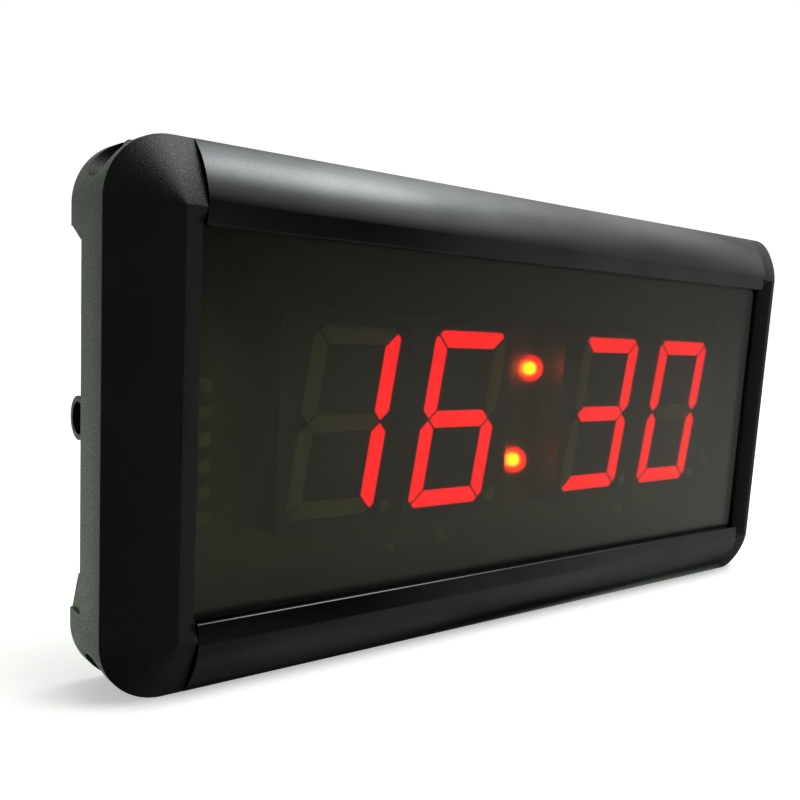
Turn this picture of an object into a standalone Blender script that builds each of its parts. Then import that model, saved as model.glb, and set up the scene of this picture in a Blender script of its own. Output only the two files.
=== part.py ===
"""Four-digit LED shot clock: two curved aluminium rails between two moulded end caps.

The model is built about the middle of the bezel ridge, which is the object's foremost line:
x runs to the viewer's right, y runs back into the clock, z runs up. One empty then puts that
point in place, so that the finished clock stands on z = 0 with its box centred over the origin.
"""

import math

import bmesh
import bpy
from mathutils import Matrix, Vector

MM = 0.001

# Overall size
WIDTH = 251.0 * MM
HEIGHT = 120.0 * MM
DEPTH = 25.6 * MM

# Bezel: a curved band round a chamfered window opening
BEZEL_WIDTH = 14.3 * MM
BEZEL_DEPTH = 7.6 * MM
CHAMFER_WIDTH = 4.6 * MM
CHAMFER_DEPTH = 2.25 * MM
CAP_SAGITTA = 0.7 * MM
RIDGE_X = WIDTH / 2 - BEZEL_WIDTH
RIDGE_Z = HEIGHT / 2 - BEZEL_WIDTH
OPENING_X = RIDGE_X - CHAMFER_WIDTH

# The rails' ridge and lip stand a little outside the caps', and their lip is shallow
RAIL_RIDGE_Z = RIDGE_Z + 1.25 * MM
RAIL_OPENING_Z = RIDGE_Z - CHAMFER_WIDTH + 1.1 * MM
RAIL_LIP_DEPTH = 0.6 * MM
RAIL_LIP_EDGE = 0.4 * MM
RAIL_SAGITTA = 1.4 * MM
RAIL_EDGE_ROUND = 0.5 * MM

# Walls and gaps
RAIL_WALL = 1.6 * MM
RIB_WALL = 1.0 * MM
CAP_WALL = 2.0 * MM
GAP = 0.3 * MM
LIP = 0.6 * MM
JOINT_X = OPENING_X
RAIL_END_X = JOINT_X - GAP

# Sheets that slide in the rails' grooves, from front to back
WINDOW_GAP = 0.25 * MM
WINDOW_FRONT = CHAMFER_DEPTH + LIP + WINDOW_GAP
WINDOW_THICKNESS = 2.5 * MM
WINDOW_GROOVE_DEPTH = 3.5 * MM
DIGIT_FRONT = 7.1 * MM
DIGIT_DEPTH = 9.5 * MM
BOARD_FRONT = DIGIT_FRONT + DIGIT_DEPTH + GAP
BOARD_THICKNESS = 1.6 * MM
BOARD_BACK = BOARD_FRONT + BOARD_THICKNESS
PANEL_FRONT = 22.5 * MM
PANEL_THICKNESS = 1.5 * MM
RAIL_BACK = PANEL_FRONT + PANEL_THICKNESS + GAP + RIB_WALL
PANEL_Z = HEIGHT / 2 - RAIL_WALL - GAP
PANEL_RIB_Z = HEIGHT / 2 - RAIL_WALL - 2.8 * MM
BOARD_Z = 52.9 * MM
BOARD_RIB_Z = BOARD_Z - 2.7 * MM
REAR_FLANGE_Z = HEIGHT / 2 - 10.0 * MM

# Cap screws, sunk in round pockets at the corners
SCREW_DEPTH = 15.6 * MM
SCREW_Z = 56.2 * MM
SCREW_SEAT_X = 116.0 * MM
POCKET_RADIUS = 5.7 * MM
BOSS_RADIUS = 7.4 * MM
SEAT_WALL = 2.5 * MM
SHANK_RADIUS = 1.5 * MM
SHANK_END_X = 95.0 * MM
HEAD_RADIUS = 3.0 * MM
HEAD_HEIGHT = 2.0 * MM
PORT_RADIUS = 3.1 * MM
PORT_BORE_RADIUS = SHANK_RADIUS + GAP
PORT_MOUTH = 28.0

# Rebate between the corner feet at each cap's back, and the foot's ramps
SIDE_BAND_BACK = 19.2 * MM
REBATE = 2.5 * MM
FOOT_TOP_Z = 41.2 * MM
FOOT_TOP_RAMP_Z = 38.0 * MM
FOOT_BOTTOM_Z = -42.3 * MM
FOOT_BOTTOM_RAMP_Z = -33.7 * MM
FOOT_RAMP_BACK = 24.7 * MM
FOOT_RAMP_FRONT = 21.8 * MM
FOOT_INSET = 0.6 * MM

# Cable outlet in the left cap: a round lobe with a hole behind the side band
OUTLET_DEPTH = 20.8 * MM
OUTLET_Z = 0.9 * MM
LOBE_RADIUS = 4.76 * MM
OUTLET_RADIUS = 3.5 * MM

# Keyholes in the caps' backs, to hang the clock on two screws
KEYHOLE_X = 116.0 * MM
KEYHOLE_Z = 30.0 * MM
KEYHOLE_RADIUS = 4.3 * MM
KEYHOLE_SLOT = 4.6 * MM
KEYHOLE_RISE = 8.0 * MM

# A cup behind each keyhole that keeps the wall screw's head away from the board
CUP_RADIUS = KEYHOLE_RADIUS + GAP
CUP_WALL = 1.5 * MM
CUP_FRONT = 17.8 * MM

# Digit modules
MODULE_PITCH = 37.5 * MM
MODULE_WIDTH = 37.2 * MM
MODULE_HEIGHT = 52.6 * MM
COLON_GAP = 21.3 * MM
GROUP_X = 0.95 * MM
SEGMENT_X = 10.8 * MM
SEGMENT_Z = 21.0 * MM
SEGMENT_HALF = 2.12 * MM
SEGMENT_GAP = 0.33 * MM
CORNER_CLIP = 1.0 * MM
SLANT = 0.15
POINT_X = 16.9 * MM
POINT_Z = -21.5 * MM
POINT_RADIUS = 1.72 * MM
GUIDE_GAP = 0.15 * MM
MODULE_RIM = 2.0 * MM
MODULE_BACK = 2.0 * MM

# Colon lamps
COLON_X = GROUP_X - 0.25 * MM
COLON_Z = 13.4 * MM
LAMP_RADIUS = 4.4 * MM
LAMP_FLANGE = 4.9 * MM
LAMP_HEIGHT = 8.4 * MM

# Set buttons: long-stemmed push switches on the board's back
SWITCH_SIZE = 6.0 * MM
SWITCH_HEIGHT = 3.4 * MM
STEM_RADIUS = 1.75 * MM
STEM_END = 25.1 * MM
BUTTON_X = (60.0 * MM, 72.0 * MM, 84.0 * MM)
BUTTON_Z = 30.0 * MM
BUTTON_NAMES = ("mode", "up", "down")

ARC_STEPS = 6
CORNER_STEPS = 8
ROUND_SIDES = 24


def clear_scene():
    """Removes what the startup file holds."""
    for obj in list(bpy.data.objects):
        bpy.data.objects.remove(obj, do_unlink=True)


def new_collection(name):
    collection = bpy.data.collections.new(name)
    bpy.context.scene.collection.children.link(collection)
    return collection


def material(name, colour, roughness, metallic=0.0):
    """A Principled material with one colour."""
    made = bpy.data.materials.new(name)
    made.use_nodes = True
    shader = made.node_tree.nodes["Principled BSDF"]
    shader.inputs["Base Color"].default_value = (*colour, 1.0)
    shader.inputs["Roughness"].default_value = roughness
    shader.inputs["Metallic"].default_value = metallic
    made.diffuse_color = (*colour, 1.0)
    return made


clear_scene()
PARTS = new_collection("shot_clock")
CUTTERS = new_collection("shot_clock_cutters")
CENTRE = bpy.data.objects.new("ridge_centre", None)
CENTRE.location = (0.0, -DEPTH / 2, HEIGHT / 2)
PARTS.objects.link(CENTRE)

ANODISED = material("black_anodised_aluminium", (0.05, 0.055, 0.055), 0.35, 0.9)
CAP_PLASTIC = material("black_moulded_abs", (0.018, 0.018, 0.018), 0.55)
SMOKED = material("smoked_acrylic", (0.02, 0.02, 0.015), 0.1)
PANEL_PLASTIC = material("black_sheet_abs", (0.02, 0.02, 0.02), 0.6)
BOARD_GREEN = material("solder_mask", (0.01, 0.06, 0.03), 0.4)
MODULE_GREY = material("module_face", (0.03, 0.03, 0.03), 0.5)
GUIDE_RESIN = material("milky_epoxy", (0.6, 0.05, 0.05), 0.3)
LAMP_RESIN = material("red_lamp_epoxy", (0.8, 0.1, 0.02), 0.15)
CHIP_BLACK = material("chip_epoxy", (0.02, 0.02, 0.022), 0.5)
STEEL = material("zinc_plated_steel", (0.6, 0.6, 0.6), 0.3, 1.0)
CELL_STEEL = material("nickel_plated_steel", (0.7, 0.7, 0.68), 0.25, 1.0)
CONNECTOR_WHITE = material("white_nylon", (0.75, 0.74, 0.68), 0.5)
TANTALUM = material("yellow_moulded_case", (0.6, 0.4, 0.05), 0.5)


def add(name, mesh, finish=None):
    """Puts a mesh in the scene: a part when it has a finish, and otherwise a cutter."""
    obj = bpy.data.objects.new(name, mesh)
    obj.parent = CENTRE
    if finish is None:
        CUTTERS.objects.link(obj)
        obj.hide_render = True
        obj.display_type = "WIRE"
    else:
        PARTS.objects.link(obj)
        mesh.materials.clear()
        mesh.materials.append(finish)
    return obj


def smooth(mesh):
    """Shades round faces smooth and keeps edges over 30 degrees sharp."""
    mesh.shade_smooth()
    mesh.set_sharp_from_angle(angle=math.radians(30))


def box(name, low, high, finish=None):
    """A box between two corners, with its origin in its middle."""
    low, high = Vector(low), Vector(high)
    shape = bmesh.new()
    bmesh.ops.create_cube(shape, size=1.0)
    bmesh.ops.scale(shape, vec=high - low, verts=shape.verts)
    mesh = bpy.data.meshes.new(name)
    shape.to_mesh(mesh)
    shape.free()
    obj = add(name, mesh, finish)
    obj.location = (low + high) / 2
    return obj


def cylinder(name, radius, start, end, finish=None, sides=ROUND_SIDES):
    """A cylinder from one point to another."""
    start, end = Vector(start), Vector(end)
    shape = bmesh.new()
    bmesh.ops.create_cone(
        shape, cap_ends=True, segments=sides, radius1=radius, radius2=radius, depth=(end - start).length
    )
    mesh = bpy.data.meshes.new(name)
    shape.to_mesh(mesh)
    shape.free()
    smooth(mesh)
    obj = add(name, mesh, finish)
    obj.location = (start + end) / 2
    obj.rotation_euler = (end - start).to_track_quat("Z", "Y").to_euler()
    return obj


def turned(name, profile, base, direction, finish=None, steps=ROUND_SIDES):
    """A profile of (radius, height) points, given from its far end to its base, turned about its axis."""
    mesh = bpy.data.meshes.new(name)
    points = [(radius, 0.0, height) for radius, height in profile]
    mesh.from_pydata(points, [(i, i + 1) for i in range(len(points) - 1)], [])
    obj = add(name, mesh, finish)
    screw = obj.modifiers.new("turn", "SCREW")
    screw.steps = steps
    screw.render_steps = steps
    screw.use_merge_vertices = True
    screw.merge_threshold = 0.00001
    screw.use_smooth_shade = False
    obj.location = base
    obj.rotation_euler = Vector(direction).to_track_quat("Z", "Y").to_euler()
    return obj


def prism(name, loops, start, end, axis, finish=None):
    """Flat outlines given a thickness: (y, z) loops along X, or (x, z) loops along Y."""
    curve = bpy.data.curves.new(name, "CURVE")
    curve.dimensions = "2D"
    curve.fill_mode = "BOTH"
    curve.extrude = abs(end - start) / 2
    for loop in loops:
        spline = curve.splines.new("POLY")
        spline.points.add(len(loop) - 1)
        for point, place in zip(spline.points, loop):
            point.co = (*place, 0.0, 1.0)
        spline.use_cyclic_u = True
    guide = bpy.data.objects.new(name + "_outline", curve)
    CUTTERS.objects.link(guide)
    bpy.context.view_layer.update()
    mesh = bpy.data.meshes.new_from_object(guide.evaluated_get(bpy.context.evaluated_depsgraph_get()))
    bpy.data.objects.remove(guide, do_unlink=True)
    bpy.data.curves.remove(curve)
    mesh.name = name
    shape = bmesh.new()
    shape.from_mesh(mesh)
    bmesh.ops.remove_doubles(shape, verts=shape.verts, dist=0.000001)
    bmesh.ops.recalc_face_normals(shape, faces=shape.faces)
    shape.to_mesh(mesh)
    shape.free()
    obj = add(name, mesh, finish)
    middle = (start + end) / 2
    if axis == "X":
        obj.location = (middle, 0.0, 0.0)
        obj.rotation_euler = Matrix(((0, 0, 1), (1, 0, 0), (0, 1, 0))).to_euler()
    else:
        obj.location = (0.0, middle, 0.0)
        obj.rotation_euler = (math.radians(90), 0.0, 0.0)
    return obj


def loft(name, rows, finish=None):
    """Skins rows of points that all begin and end in one plane, and closes that plane and both end rows."""
    shape = bmesh.new()
    rows = [[shape.verts.new(point) for point in row] for row in rows]
    for row, following in zip(rows, rows[1:]):
        for i in range(len(row) - 1):
            shape.faces.new((row[i], row[i + 1], following[i + 1], following[i]))
    shape.faces.new(rows[0])
    shape.faces.new(rows[-1])
    shape.faces.new([row[0] for row in rows] + [row[-1] for row in reversed(rows)])
    bmesh.ops.remove_doubles(shape, verts=shape.verts, dist=0.000001)
    bmesh.ops.recalc_face_normals(shape, faces=shape.faces)
    mesh = bpy.data.meshes.new(name)
    shape.to_mesh(mesh)
    shape.free()
    return add(name, mesh, finish)


def boolean(obj, cutter, operation="DIFFERENCE"):
    """Adds a Boolean modifier that cuts or joins the other object."""
    modifier = obj.modifiers.new(operation.lower() + "_" + cutter.name, "BOOLEAN")
    modifier.operation = operation
    modifier.object = cutter
    modifier.solver = "EXACT"
    return modifier


def arc_between(start, end, sagitta, steps):
    """Points on the arc from start to end that bulges by sagitta to the left of the chord."""
    start, end = Vector(start), Vector(end)
    chord = end - start
    radius = (chord.length**2 / 4 + sagitta**2) / (2 * sagitta)
    left = Vector((-chord.y, chord.x)).normalized()
    centre = (start + end) / 2 - left * (radius - sagitta)
    first = math.atan2(*(start - centre).yx)
    last = math.atan2(*(end - centre).yx)
    angles = [first + (last - first) * i / steps for i in range(steps + 1)]
    return [centre + radius * Vector((math.cos(a), math.sin(a))) for a in angles], centre, radius


def turn_points(centre, radius, first, last, steps):
    """Points on a circle between two angles, in degrees."""
    angles = [math.radians(first + (last - first) * i / steps) for i in range(steps + 1)]
    return [Vector(centre) + radius * Vector((math.cos(a), math.sin(a))) for a in angles]


def screw_port(inner_top):
    """The channel, open to the front, that the cap screws bite in: it ties the board's ribs to the wall."""
    centre = (SCREW_DEPTH, SCREW_Z)
    at_wall = 180 - math.degrees(math.asin((inner_top - SCREW_Z) / PORT_RADIUS))
    outline = turn_points(centre, PORT_RADIUS, 270, 180 + PORT_MOUTH, 4)
    outline += turn_points(centre, PORT_BORE_RADIUS, 180 + PORT_MOUTH, 540 - PORT_MOUTH, 14)
    outline += turn_points(centre, PORT_RADIUS, 180 - PORT_MOUTH, at_wall, 1)
    return outline


def rail_section():
    """The rail's (depth, height) outline, for the top rail."""
    top = HEIGHT / 2
    inner_top = top - RAIL_WALL
    outer, centre, radius = arc_between((0.0, RAIL_RIDGE_Z), (BEZEL_DEPTH, top), RAIL_SAGITTA, 2 * ARC_STEPS)
    outer[-1:] = [
        outer[-1] + Vector((-0.45, -0.4)) * RAIL_EDGE_ROUND,
        outer[-1] + Vector((0.15, -0.06)) * RAIL_EDGE_ROUND,
        outer[-1] + Vector((1.0, 0.0)) * RAIL_EDGE_ROUND,
    ]
    inner_radius = radius - RAIL_WALL
    web_top = RAIL_RIDGE_Z + 0.1 * MM
    high = 180 - math.degrees(math.asin((inner_top - centre.y) / inner_radius))
    low = 180 - math.degrees(math.asin((web_top - centre.y) / inner_radius))
    outline = [(RAIL_LIP_DEPTH + RAIL_LIP_EDGE, RAIL_OPENING_Z), (RAIL_LIP_DEPTH, RAIL_OPENING_Z + RAIL_LIP_EDGE)]
    outline += outer
    outline += [(RAIL_BACK - RAIL_EDGE_ROUND, top), (RAIL_BACK, top - RAIL_EDGE_ROUND)]
    outline += [(RAIL_BACK, REAR_FLANGE_Z), (RAIL_BACK - RIB_WALL, REAR_FLANGE_Z), (RAIL_BACK - RIB_WALL, inner_top)]
    panel_rib = PANEL_FRONT - GAP
    outline += [(panel_rib, inner_top), (panel_rib, PANEL_RIB_Z)]
    outline += [(panel_rib - RIB_WALL, PANEL_RIB_Z), (panel_rib - RIB_WALL, inner_top)]
    slot_front = BOARD_FRONT - GAP
    slot_back = BOARD_BACK + GAP
    slot_top = BOARD_Z + GAP
    outline += [(slot_back + RIB_WALL, inner_top), (slot_back + RIB_WALL, BOARD_RIB_Z), (slot_back, BOARD_RIB_Z)]
    outline += [(slot_back, slot_top), (slot_front, slot_top)]
    outline += [(slot_front, BOARD_RIB_Z), (slot_front - RIB_WALL, BOARD_RIB_Z)]
    outline += screw_port(inner_top)
    outline += turn_points(centre, inner_radius, high, low, ARC_STEPS)
    groove_front = WINDOW_FRONT - WINDOW_GAP
    groove_back = WINDOW_FRONT + WINDOW_THICKNESS + GAP
    groove_top = RAIL_OPENING_Z + WINDOW_GROOVE_DEPTH
    hook = 1.1 * MM
    outline += [
        (groove_back + hook, web_top),
        (groove_back + hook, RAIL_OPENING_Z + hook),
        (groove_back, RAIL_OPENING_Z + hook),
        (groove_back, groove_top),
        (groove_front, groove_top),
        (groove_front, RAIL_OPENING_Z),
    ]
    return [tuple(point) for point in outline]


def rail(name, up):
    """One extruded rail. up is 1 for the top rail."""
    outline = [(depth, up * height) for depth, height in rail_section()]
    return prism(name, [outline], -RAIL_END_X, RAIL_END_X, "X", ANODISED)


def cap_row(side, offset, depth, joint_x):
    """Points round an end cap at one offset from the ridge, from the joint's top to its bottom."""
    corner_x = RIDGE_X + min(offset, 0.0)
    corner_z = RIDGE_Z + min(offset, 0.0)
    radius = max(offset, 0.0)
    points = [(joint_x, corner_z + radius)]
    for up in (1, -1):
        for i in range(CORNER_STEPS + 1):
            turn = math.radians(90) * i / CORNER_STEPS
            angle = math.radians(90) - turn if up > 0 else -turn
            points.append((corner_x + radius * math.cos(angle), up * corner_z + radius * math.sin(angle)))
    points.append((joint_x, -corner_z - radius))
    return [(side * x, depth, z) for x, z in points]


def cap_outside(name, side, finish):
    """The whole outer form of an end cap, before it is hollowed."""
    bezel, _, _ = arc_between((0.0, 0.0), (BEZEL_DEPTH, BEZEL_WIDTH), CAP_SAGITTA, ARC_STEPS)
    rows = [cap_row(side, -CHAMFER_WIDTH, CHAMFER_DEPTH, JOINT_X)]
    rows += [cap_row(side, point.y, point.x, JOINT_X) for point in bezel]
    rows.append(cap_row(side, BEZEL_WIDTH, DEPTH, JOINT_X))
    return loft(name, rows, finish)


def cap_cavity(name, side):
    """The hollow of an end cap, less the screw bosses, the rebate's wall and the keyhole's cup."""
    start = JOINT_X - 1.0 * MM
    inner = BEZEL_WIDTH - CAP_WALL
    front = CHAMFER_DEPTH + LIP
    rows = [
        cap_row(side, 1.0 * MM, front, start),
        cap_row(side, inner, BEZEL_DEPTH + 1.0 * MM, start),
        cap_row(side, inner, DEPTH - CAP_WALL, start),
    ]
    cavity = loft(name + "_cavity", rows)
    for word, up in (("upper", 1), ("lower", -1)):
        boss = cylinder(
            f"{name}_{word}_boss",
            BOSS_RADIUS,
            (side * (SCREW_SEAT_X - SEAT_WALL), SCREW_DEPTH, up * SCREW_Z),
            (side * WIDTH / 2, SCREW_DEPTH, up * SCREW_Z),
        )
        boolean(cavity, boss)
    wall_x = WIDTH / 2 - REBATE - CAP_WALL
    low = (min(side * wall_x, side * WIDTH / 2), SIDE_BAND_BACK - CAP_WALL, FOOT_BOTTOM_Z - CAP_WALL)
    high = (max(side * wall_x, side * WIDTH / 2), DEPTH - CAP_WALL / 2, FOOT_TOP_Z + CAP_WALL)
    boolean(cavity, box(name + "_rebate_wall", low, high))
    reach = CUP_RADIUS + CUP_WALL
    cup_x = KEYHOLE_X - reach
    low = (min(side * cup_x, side * WIDTH / 2), CUP_FRONT - CUP_WALL, KEYHOLE_Z - reach)
    high = (max(side * cup_x, side * WIDTH / 2), DEPTH - CAP_WALL / 2, KEYHOLE_Z + KEYHOLE_RISE + reach)
    boolean(cavity, box(name + "_keyhole_cup", low, high))
    return cavity


def cut_screw_pockets(cap, side):
    """Round pockets for the screw heads."""
    outside = side * (WIDTH / 2 + 1.0 * MM)
    for word, up in (("upper", 1), ("lower", -1)):
        place = (SCREW_DEPTH, up * SCREW_Z)
        name = f"{cap.name}_{word}_pocket"
        boolean(cap, cylinder(name, POCKET_RADIUS, (side * SCREW_SEAT_X, *place), (outside, *place)))


def cut_screw_holes(cap, side):
    """A clearance hole through each screw's seat."""
    inner = side * (SCREW_SEAT_X - 2 * SEAT_WALL)
    outer = side * (SCREW_SEAT_X + 1.0 * MM)
    for word, up in (("upper", 1), ("lower", -1)):
        place = (SCREW_DEPTH, up * SCREW_Z)
        name = f"{cap.name}_{word}_screw_hole"
        boolean(cap, cylinder(name, PORT_BORE_RADIUS, (inner, *place), (outer, *place), sides=16))


def cut_rebate(cap, side):
    """The step between the corner feet, leaving the lower foot's inset rib."""
    past_back = DEPTH + 1.0 * MM
    past_side = side * (WIDTH / 2 + 1.0 * MM)
    deep = [
        (SIDE_BAND_BACK, FOOT_TOP_RAMP_Z),
        (FOOT_RAMP_BACK, FOOT_TOP_Z),
        (past_back, FOOT_TOP_Z),
        (past_back, FOOT_BOTTOM_Z),
        (DEPTH, FOOT_BOTTOM_Z),
        (FOOT_RAMP_FRONT, FOOT_BOTTOM_RAMP_Z),
        (SIDE_BAND_BACK, FOOT_BOTTOM_RAMP_Z),
    ]
    shallow = [
        (SIDE_BAND_BACK, FOOT_BOTTOM_RAMP_Z + 0.5 * MM),
        (past_back, FOOT_BOTTOM_RAMP_Z + 0.5 * MM),
        (past_back, FOOT_BOTTOM_Z),
        (SIDE_BAND_BACK, FOOT_BOTTOM_Z),
    ]
    boolean(cap, prism(cap.name + "_rebate", [deep], side * (WIDTH / 2 - REBATE), past_side, "X"))
    boolean(cap, prism(cap.name + "_foot_inset", [shallow], side * (WIDTH / 2 - FOOT_INSET), past_side, "X"))


def cut_keyhole(cap, side):
    """A keyhole through the cap's back wall, for a screw head and its shank, and the cup behind it."""
    cup = turn_points((side * KEYHOLE_X, KEYHOLE_Z + KEYHOLE_RISE), CUP_RADIUS, 0, 180, 8)
    cup += turn_points((side * KEYHOLE_X, KEYHOLE_Z), CUP_RADIUS, 180, 360, 8)
    boolean(cap, prism(cap.name + "_keyhole_cup_hollow", [cup], CUP_FRONT, DEPTH - CAP_WALL, "Y"))
    slot_turn = math.asin(KEYHOLE_SLOT / 2 / KEYHOLE_RADIUS)
    outline = []
    for i in range(17):
        angle = math.radians(90) - slot_turn - (math.radians(360) - 2 * slot_turn) * i / 16
        outline.append((KEYHOLE_RADIUS * math.cos(angle), KEYHOLE_Z + KEYHOLE_RADIUS * math.sin(angle)))
    for i in range(7):
        angle = math.radians(180) - math.radians(180) * i / 6
        slot_top = KEYHOLE_Z + KEYHOLE_RISE
        outline.append((KEYHOLE_SLOT / 2 * math.cos(angle), slot_top + KEYHOLE_SLOT / 2 * math.sin(angle)))
    outline = [(side * KEYHOLE_X + x, z) for x, z in outline]
    front = DEPTH - CAP_WALL - 0.5 * MM
    boolean(cap, prism(cap.name + "_keyhole", [outline], front, DEPTH + 1.0 * MM, "Y"))


def add_outlet_lobe(cap, side):
    """The round lobe behind the side band, that the power cable comes out of."""
    skin = 0.05 * MM
    place = (OUTLET_DEPTH, OUTLET_Z)
    inner = side * (WIDTH / 2 - REBATE - CAP_WALL / 2)
    outer = side * (WIDTH / 2 - skin)
    boolean(cap, cylinder(cap.name + "_lobe", LOBE_RADIUS, (inner, *place), (outer, *place), sides=32), "UNION")


def cut_cable_hole(cap, side):
    """The hole in the lobe, flat where the side band ends."""
    flat = SIDE_BAND_BACK + 0.1 * MM
    half_turn = math.degrees(math.acos((flat - OUTLET_DEPTH) / OUTLET_RADIUS))
    outline = turn_points((OUTLET_DEPTH, OUTLET_Z), OUTLET_RADIUS, -half_turn, half_turn, 16)
    inside = side * (WIDTH / 2 - REBATE - CAP_WALL - 1.0 * MM)
    outside = side * (WIDTH / 2 + 1.0 * MM)
    boolean(cap, prism(cap.name + "_cable_hole", [outline], inside, outside, "X"))


def end_cap(name, side, with_outlet):
    """One moulded end cap. side is -1 for the left one."""
    cap = cap_outside(name, side, CAP_PLASTIC)
    cut_screw_pockets(cap, side)
    cut_rebate(cap, side)
    if with_outlet:
        add_outlet_lobe(cap, side)
    boolean(cap, cap_cavity(name, side))
    cut_screw_holes(cap, side)
    cut_keyhole(cap, side)
    if with_outlet:
        cut_cable_hole(cap, side)
    return cap


def cap_screw(name, side, up):
    """A pan-head screw through the cap into the rail's port. Its origin is under its head."""
    dome = 0.6 * HEAD_HEIGHT
    length = SCREW_SEAT_X + GAP - SHANK_END_X
    profile = [
        (0.0, HEAD_HEIGHT),
        (0.55 * HEAD_RADIUS, HEAD_HEIGHT - 0.1 * MM),
        (0.88 * HEAD_RADIUS, dome),
        (HEAD_RADIUS, 0.3 * HEAD_HEIGHT),
        (HEAD_RADIUS, 0.0),
        (SHANK_RADIUS, 0.0),
        (SHANK_RADIUS, -length + SHANK_RADIUS),
        (0.0, -length),
    ]
    base = (side * (SCREW_SEAT_X + GAP), SCREW_DEPTH, up * SCREW_Z)
    screw = turned(name, profile, base, (side, 0, 0), STEEL, steps=20)
    reach = 0.62 * HEAD_RADIUS
    blade = 0.35 * MM
    top = HEAD_HEIGHT + 0.5 * MM
    for word, half in (("across", (reach, blade)), ("along", (blade, reach))):
        slot = box(f"{name}_slot_{word}", (-half[0], -half[1], 0.45 * HEAD_HEIGHT), (half[0], half[1], top))
        slot.parent = screw
        boolean(screw, slot)
    return screw


def mirrored(points):
    """The points, and their copies on the other side, as one loop."""
    return points + [(-x, z) for x, z in reversed(points)]


def segment_outlines(grow):
    """The seven segments of a digit, upright, each grown by a margin, and its decimal point."""
    half = SEGMENT_HALF + grow
    mitre = (SEGMENT_GAP - grow) * math.sqrt(2)
    clip = CORNER_CLIP
    x, z = SEGMENT_X, SEGMENT_Z
    bar = [
        (x - half - mitre, z - half),
        (x + half - clip - mitre, z + half - clip),
        (x + half - 2 * clip - mitre, z + half),
    ]
    bar = mirrored(bar)
    middle = [(x - mitre, 0.0), (x - half - mitre, half), (-x + half + mitre, half)]
    middle += [(-a, -b) for a, b in middle]
    upright = [
        (x - half, half + mitre),
        (x, mitre),
        (x + half, half + mitre),
        (x + half, z + half - 2 * clip - mitre),
        (x + half - clip, z + half - clip - mitre),
        (x - half, z - half - mitre),
    ]
    outlines = [bar, [(a, -b) for a, b in bar], middle]
    for flip_x in (1, -1):
        for flip_z in (1, -1):
            outlines.append([(flip_x * a, flip_z * b) for a, b in upright])
    point = []
    for i in range(12):
        angle = math.tau * i / 12
        radius = POINT_RADIUS + grow
        point.append((POINT_X + radius * math.cos(angle), POINT_Z + radius * math.sin(angle)))
    slanted = [[(a + SLANT * b, b) for a, b in loop] for loop in outlines]
    slanted.append([(a + SLANT * POINT_Z, b) for a, b in point])
    return slanted


def digit_centre(index):
    """The x of a digit module's middle, counted from the left."""
    from_middle = index - 1.5
    side = math.copysign(1.0, from_middle)
    inner = (COLON_GAP + MODULE_PITCH) / 2
    return GROUP_X + side * (inner + (abs(from_middle) - 0.5) * MODULE_PITCH)


def digit(index):
    """A module: a moulded housing with segment windows, and the epoxy light guides that fill them."""
    name = f"digit_{index + 1}"
    x = digit_centre(index)
    back = DIGIT_FRONT + DIGIT_DEPTH
    housing = box(
        name + "_housing",
        (x - MODULE_WIDTH / 2, DIGIT_FRONT, -MODULE_HEIGHT / 2),
        (x + MODULE_WIDTH / 2, back, MODULE_HEIGHT / 2),
        MODULE_GREY,
    )
    windows = prism(name + "_windows", segment_outlines(GUIDE_GAP), DIGIT_FRONT - 1.0 * MM, back, "Y")
    windows.location.x = x
    rim_x = MODULE_WIDTH / 2 - MODULE_RIM
    rim_z = MODULE_HEIGHT / 2 - MODULE_RIM
    recess_front = back - MODULE_BACK
    recess = box(name + "_recess", (x - rim_x, recess_front, -rim_z), (x + rim_x, back + 1.0 * MM, rim_z))
    boolean(housing, windows)
    boolean(housing, recess)
    guides = prism(name + "_light_guides", segment_outlines(0.0), DIGIT_FRONT, back - 0.5 * MM, "Y", GUIDE_RESIN)
    guides.location.x = x
    plate = box(
        name + "_plate",
        (x - rim_x + GAP, recess_front + GAP, -rim_z + GAP),
        (x + rim_x - GAP, back, rim_z - GAP),
    )
    boolean(guides, plate, "UNION")


def colon_lamp(name, up):
    """A round lamp on the board, one of two that follow the digits' slant."""
    x = COLON_X + up * SLANT * COLON_Z
    dome_base = LAMP_HEIGHT - LAMP_RADIUS
    profile = []
    for i in range(ARC_STEPS):
        angle = math.radians(90) * i / (ARC_STEPS - 1)
        profile.append((LAMP_RADIUS * math.sin(angle), dome_base + LAMP_RADIUS * math.cos(angle)))
    flange_height = 1.0 * MM
    profile += [(LAMP_RADIUS, flange_height), (LAMP_FLANGE, flange_height), (LAMP_FLANGE, 0.0), (0.0, 0.0)]
    base = (x, BOARD_FRONT - GAP, up * COLON_Z)
    return turned(name, profile, base, (0, -1, 0), LAMP_RESIN)


def infrared_receiver(x, z):
    """The remote control's receiver: a small box with a rounded lens towards the window."""
    back = BOARD_FRONT - GAP
    half_width, half_height = 3.0 * MM, 3.5 * MM
    body_depth = 3.6 * MM
    body = box(
        "infrared_receiver",
        (x - half_width, back - body_depth, z - half_height),
        (x + half_width, back, z + half_height),
        CHIP_BLACK,
    )
    lens_depth = back - body_depth + 0.4 * MM
    lens = cylinder("infrared_receiver_lens", 2.4 * MM, (x, lens_depth, z - 2.4 * MM), (x, lens_depth, z + 2.4 * MM))
    boolean(body, lens, "UNION")
    return body


def board_box(name, x, z, width, height, thickness, finish):
    """A component on the board's back."""
    front = BOARD_BACK + GAP
    low = (x - width / 2, front, z - height / 2)
    high = (x + width / 2, front + thickness, z + height / 2)
    return box(name, low, high, finish)


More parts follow.
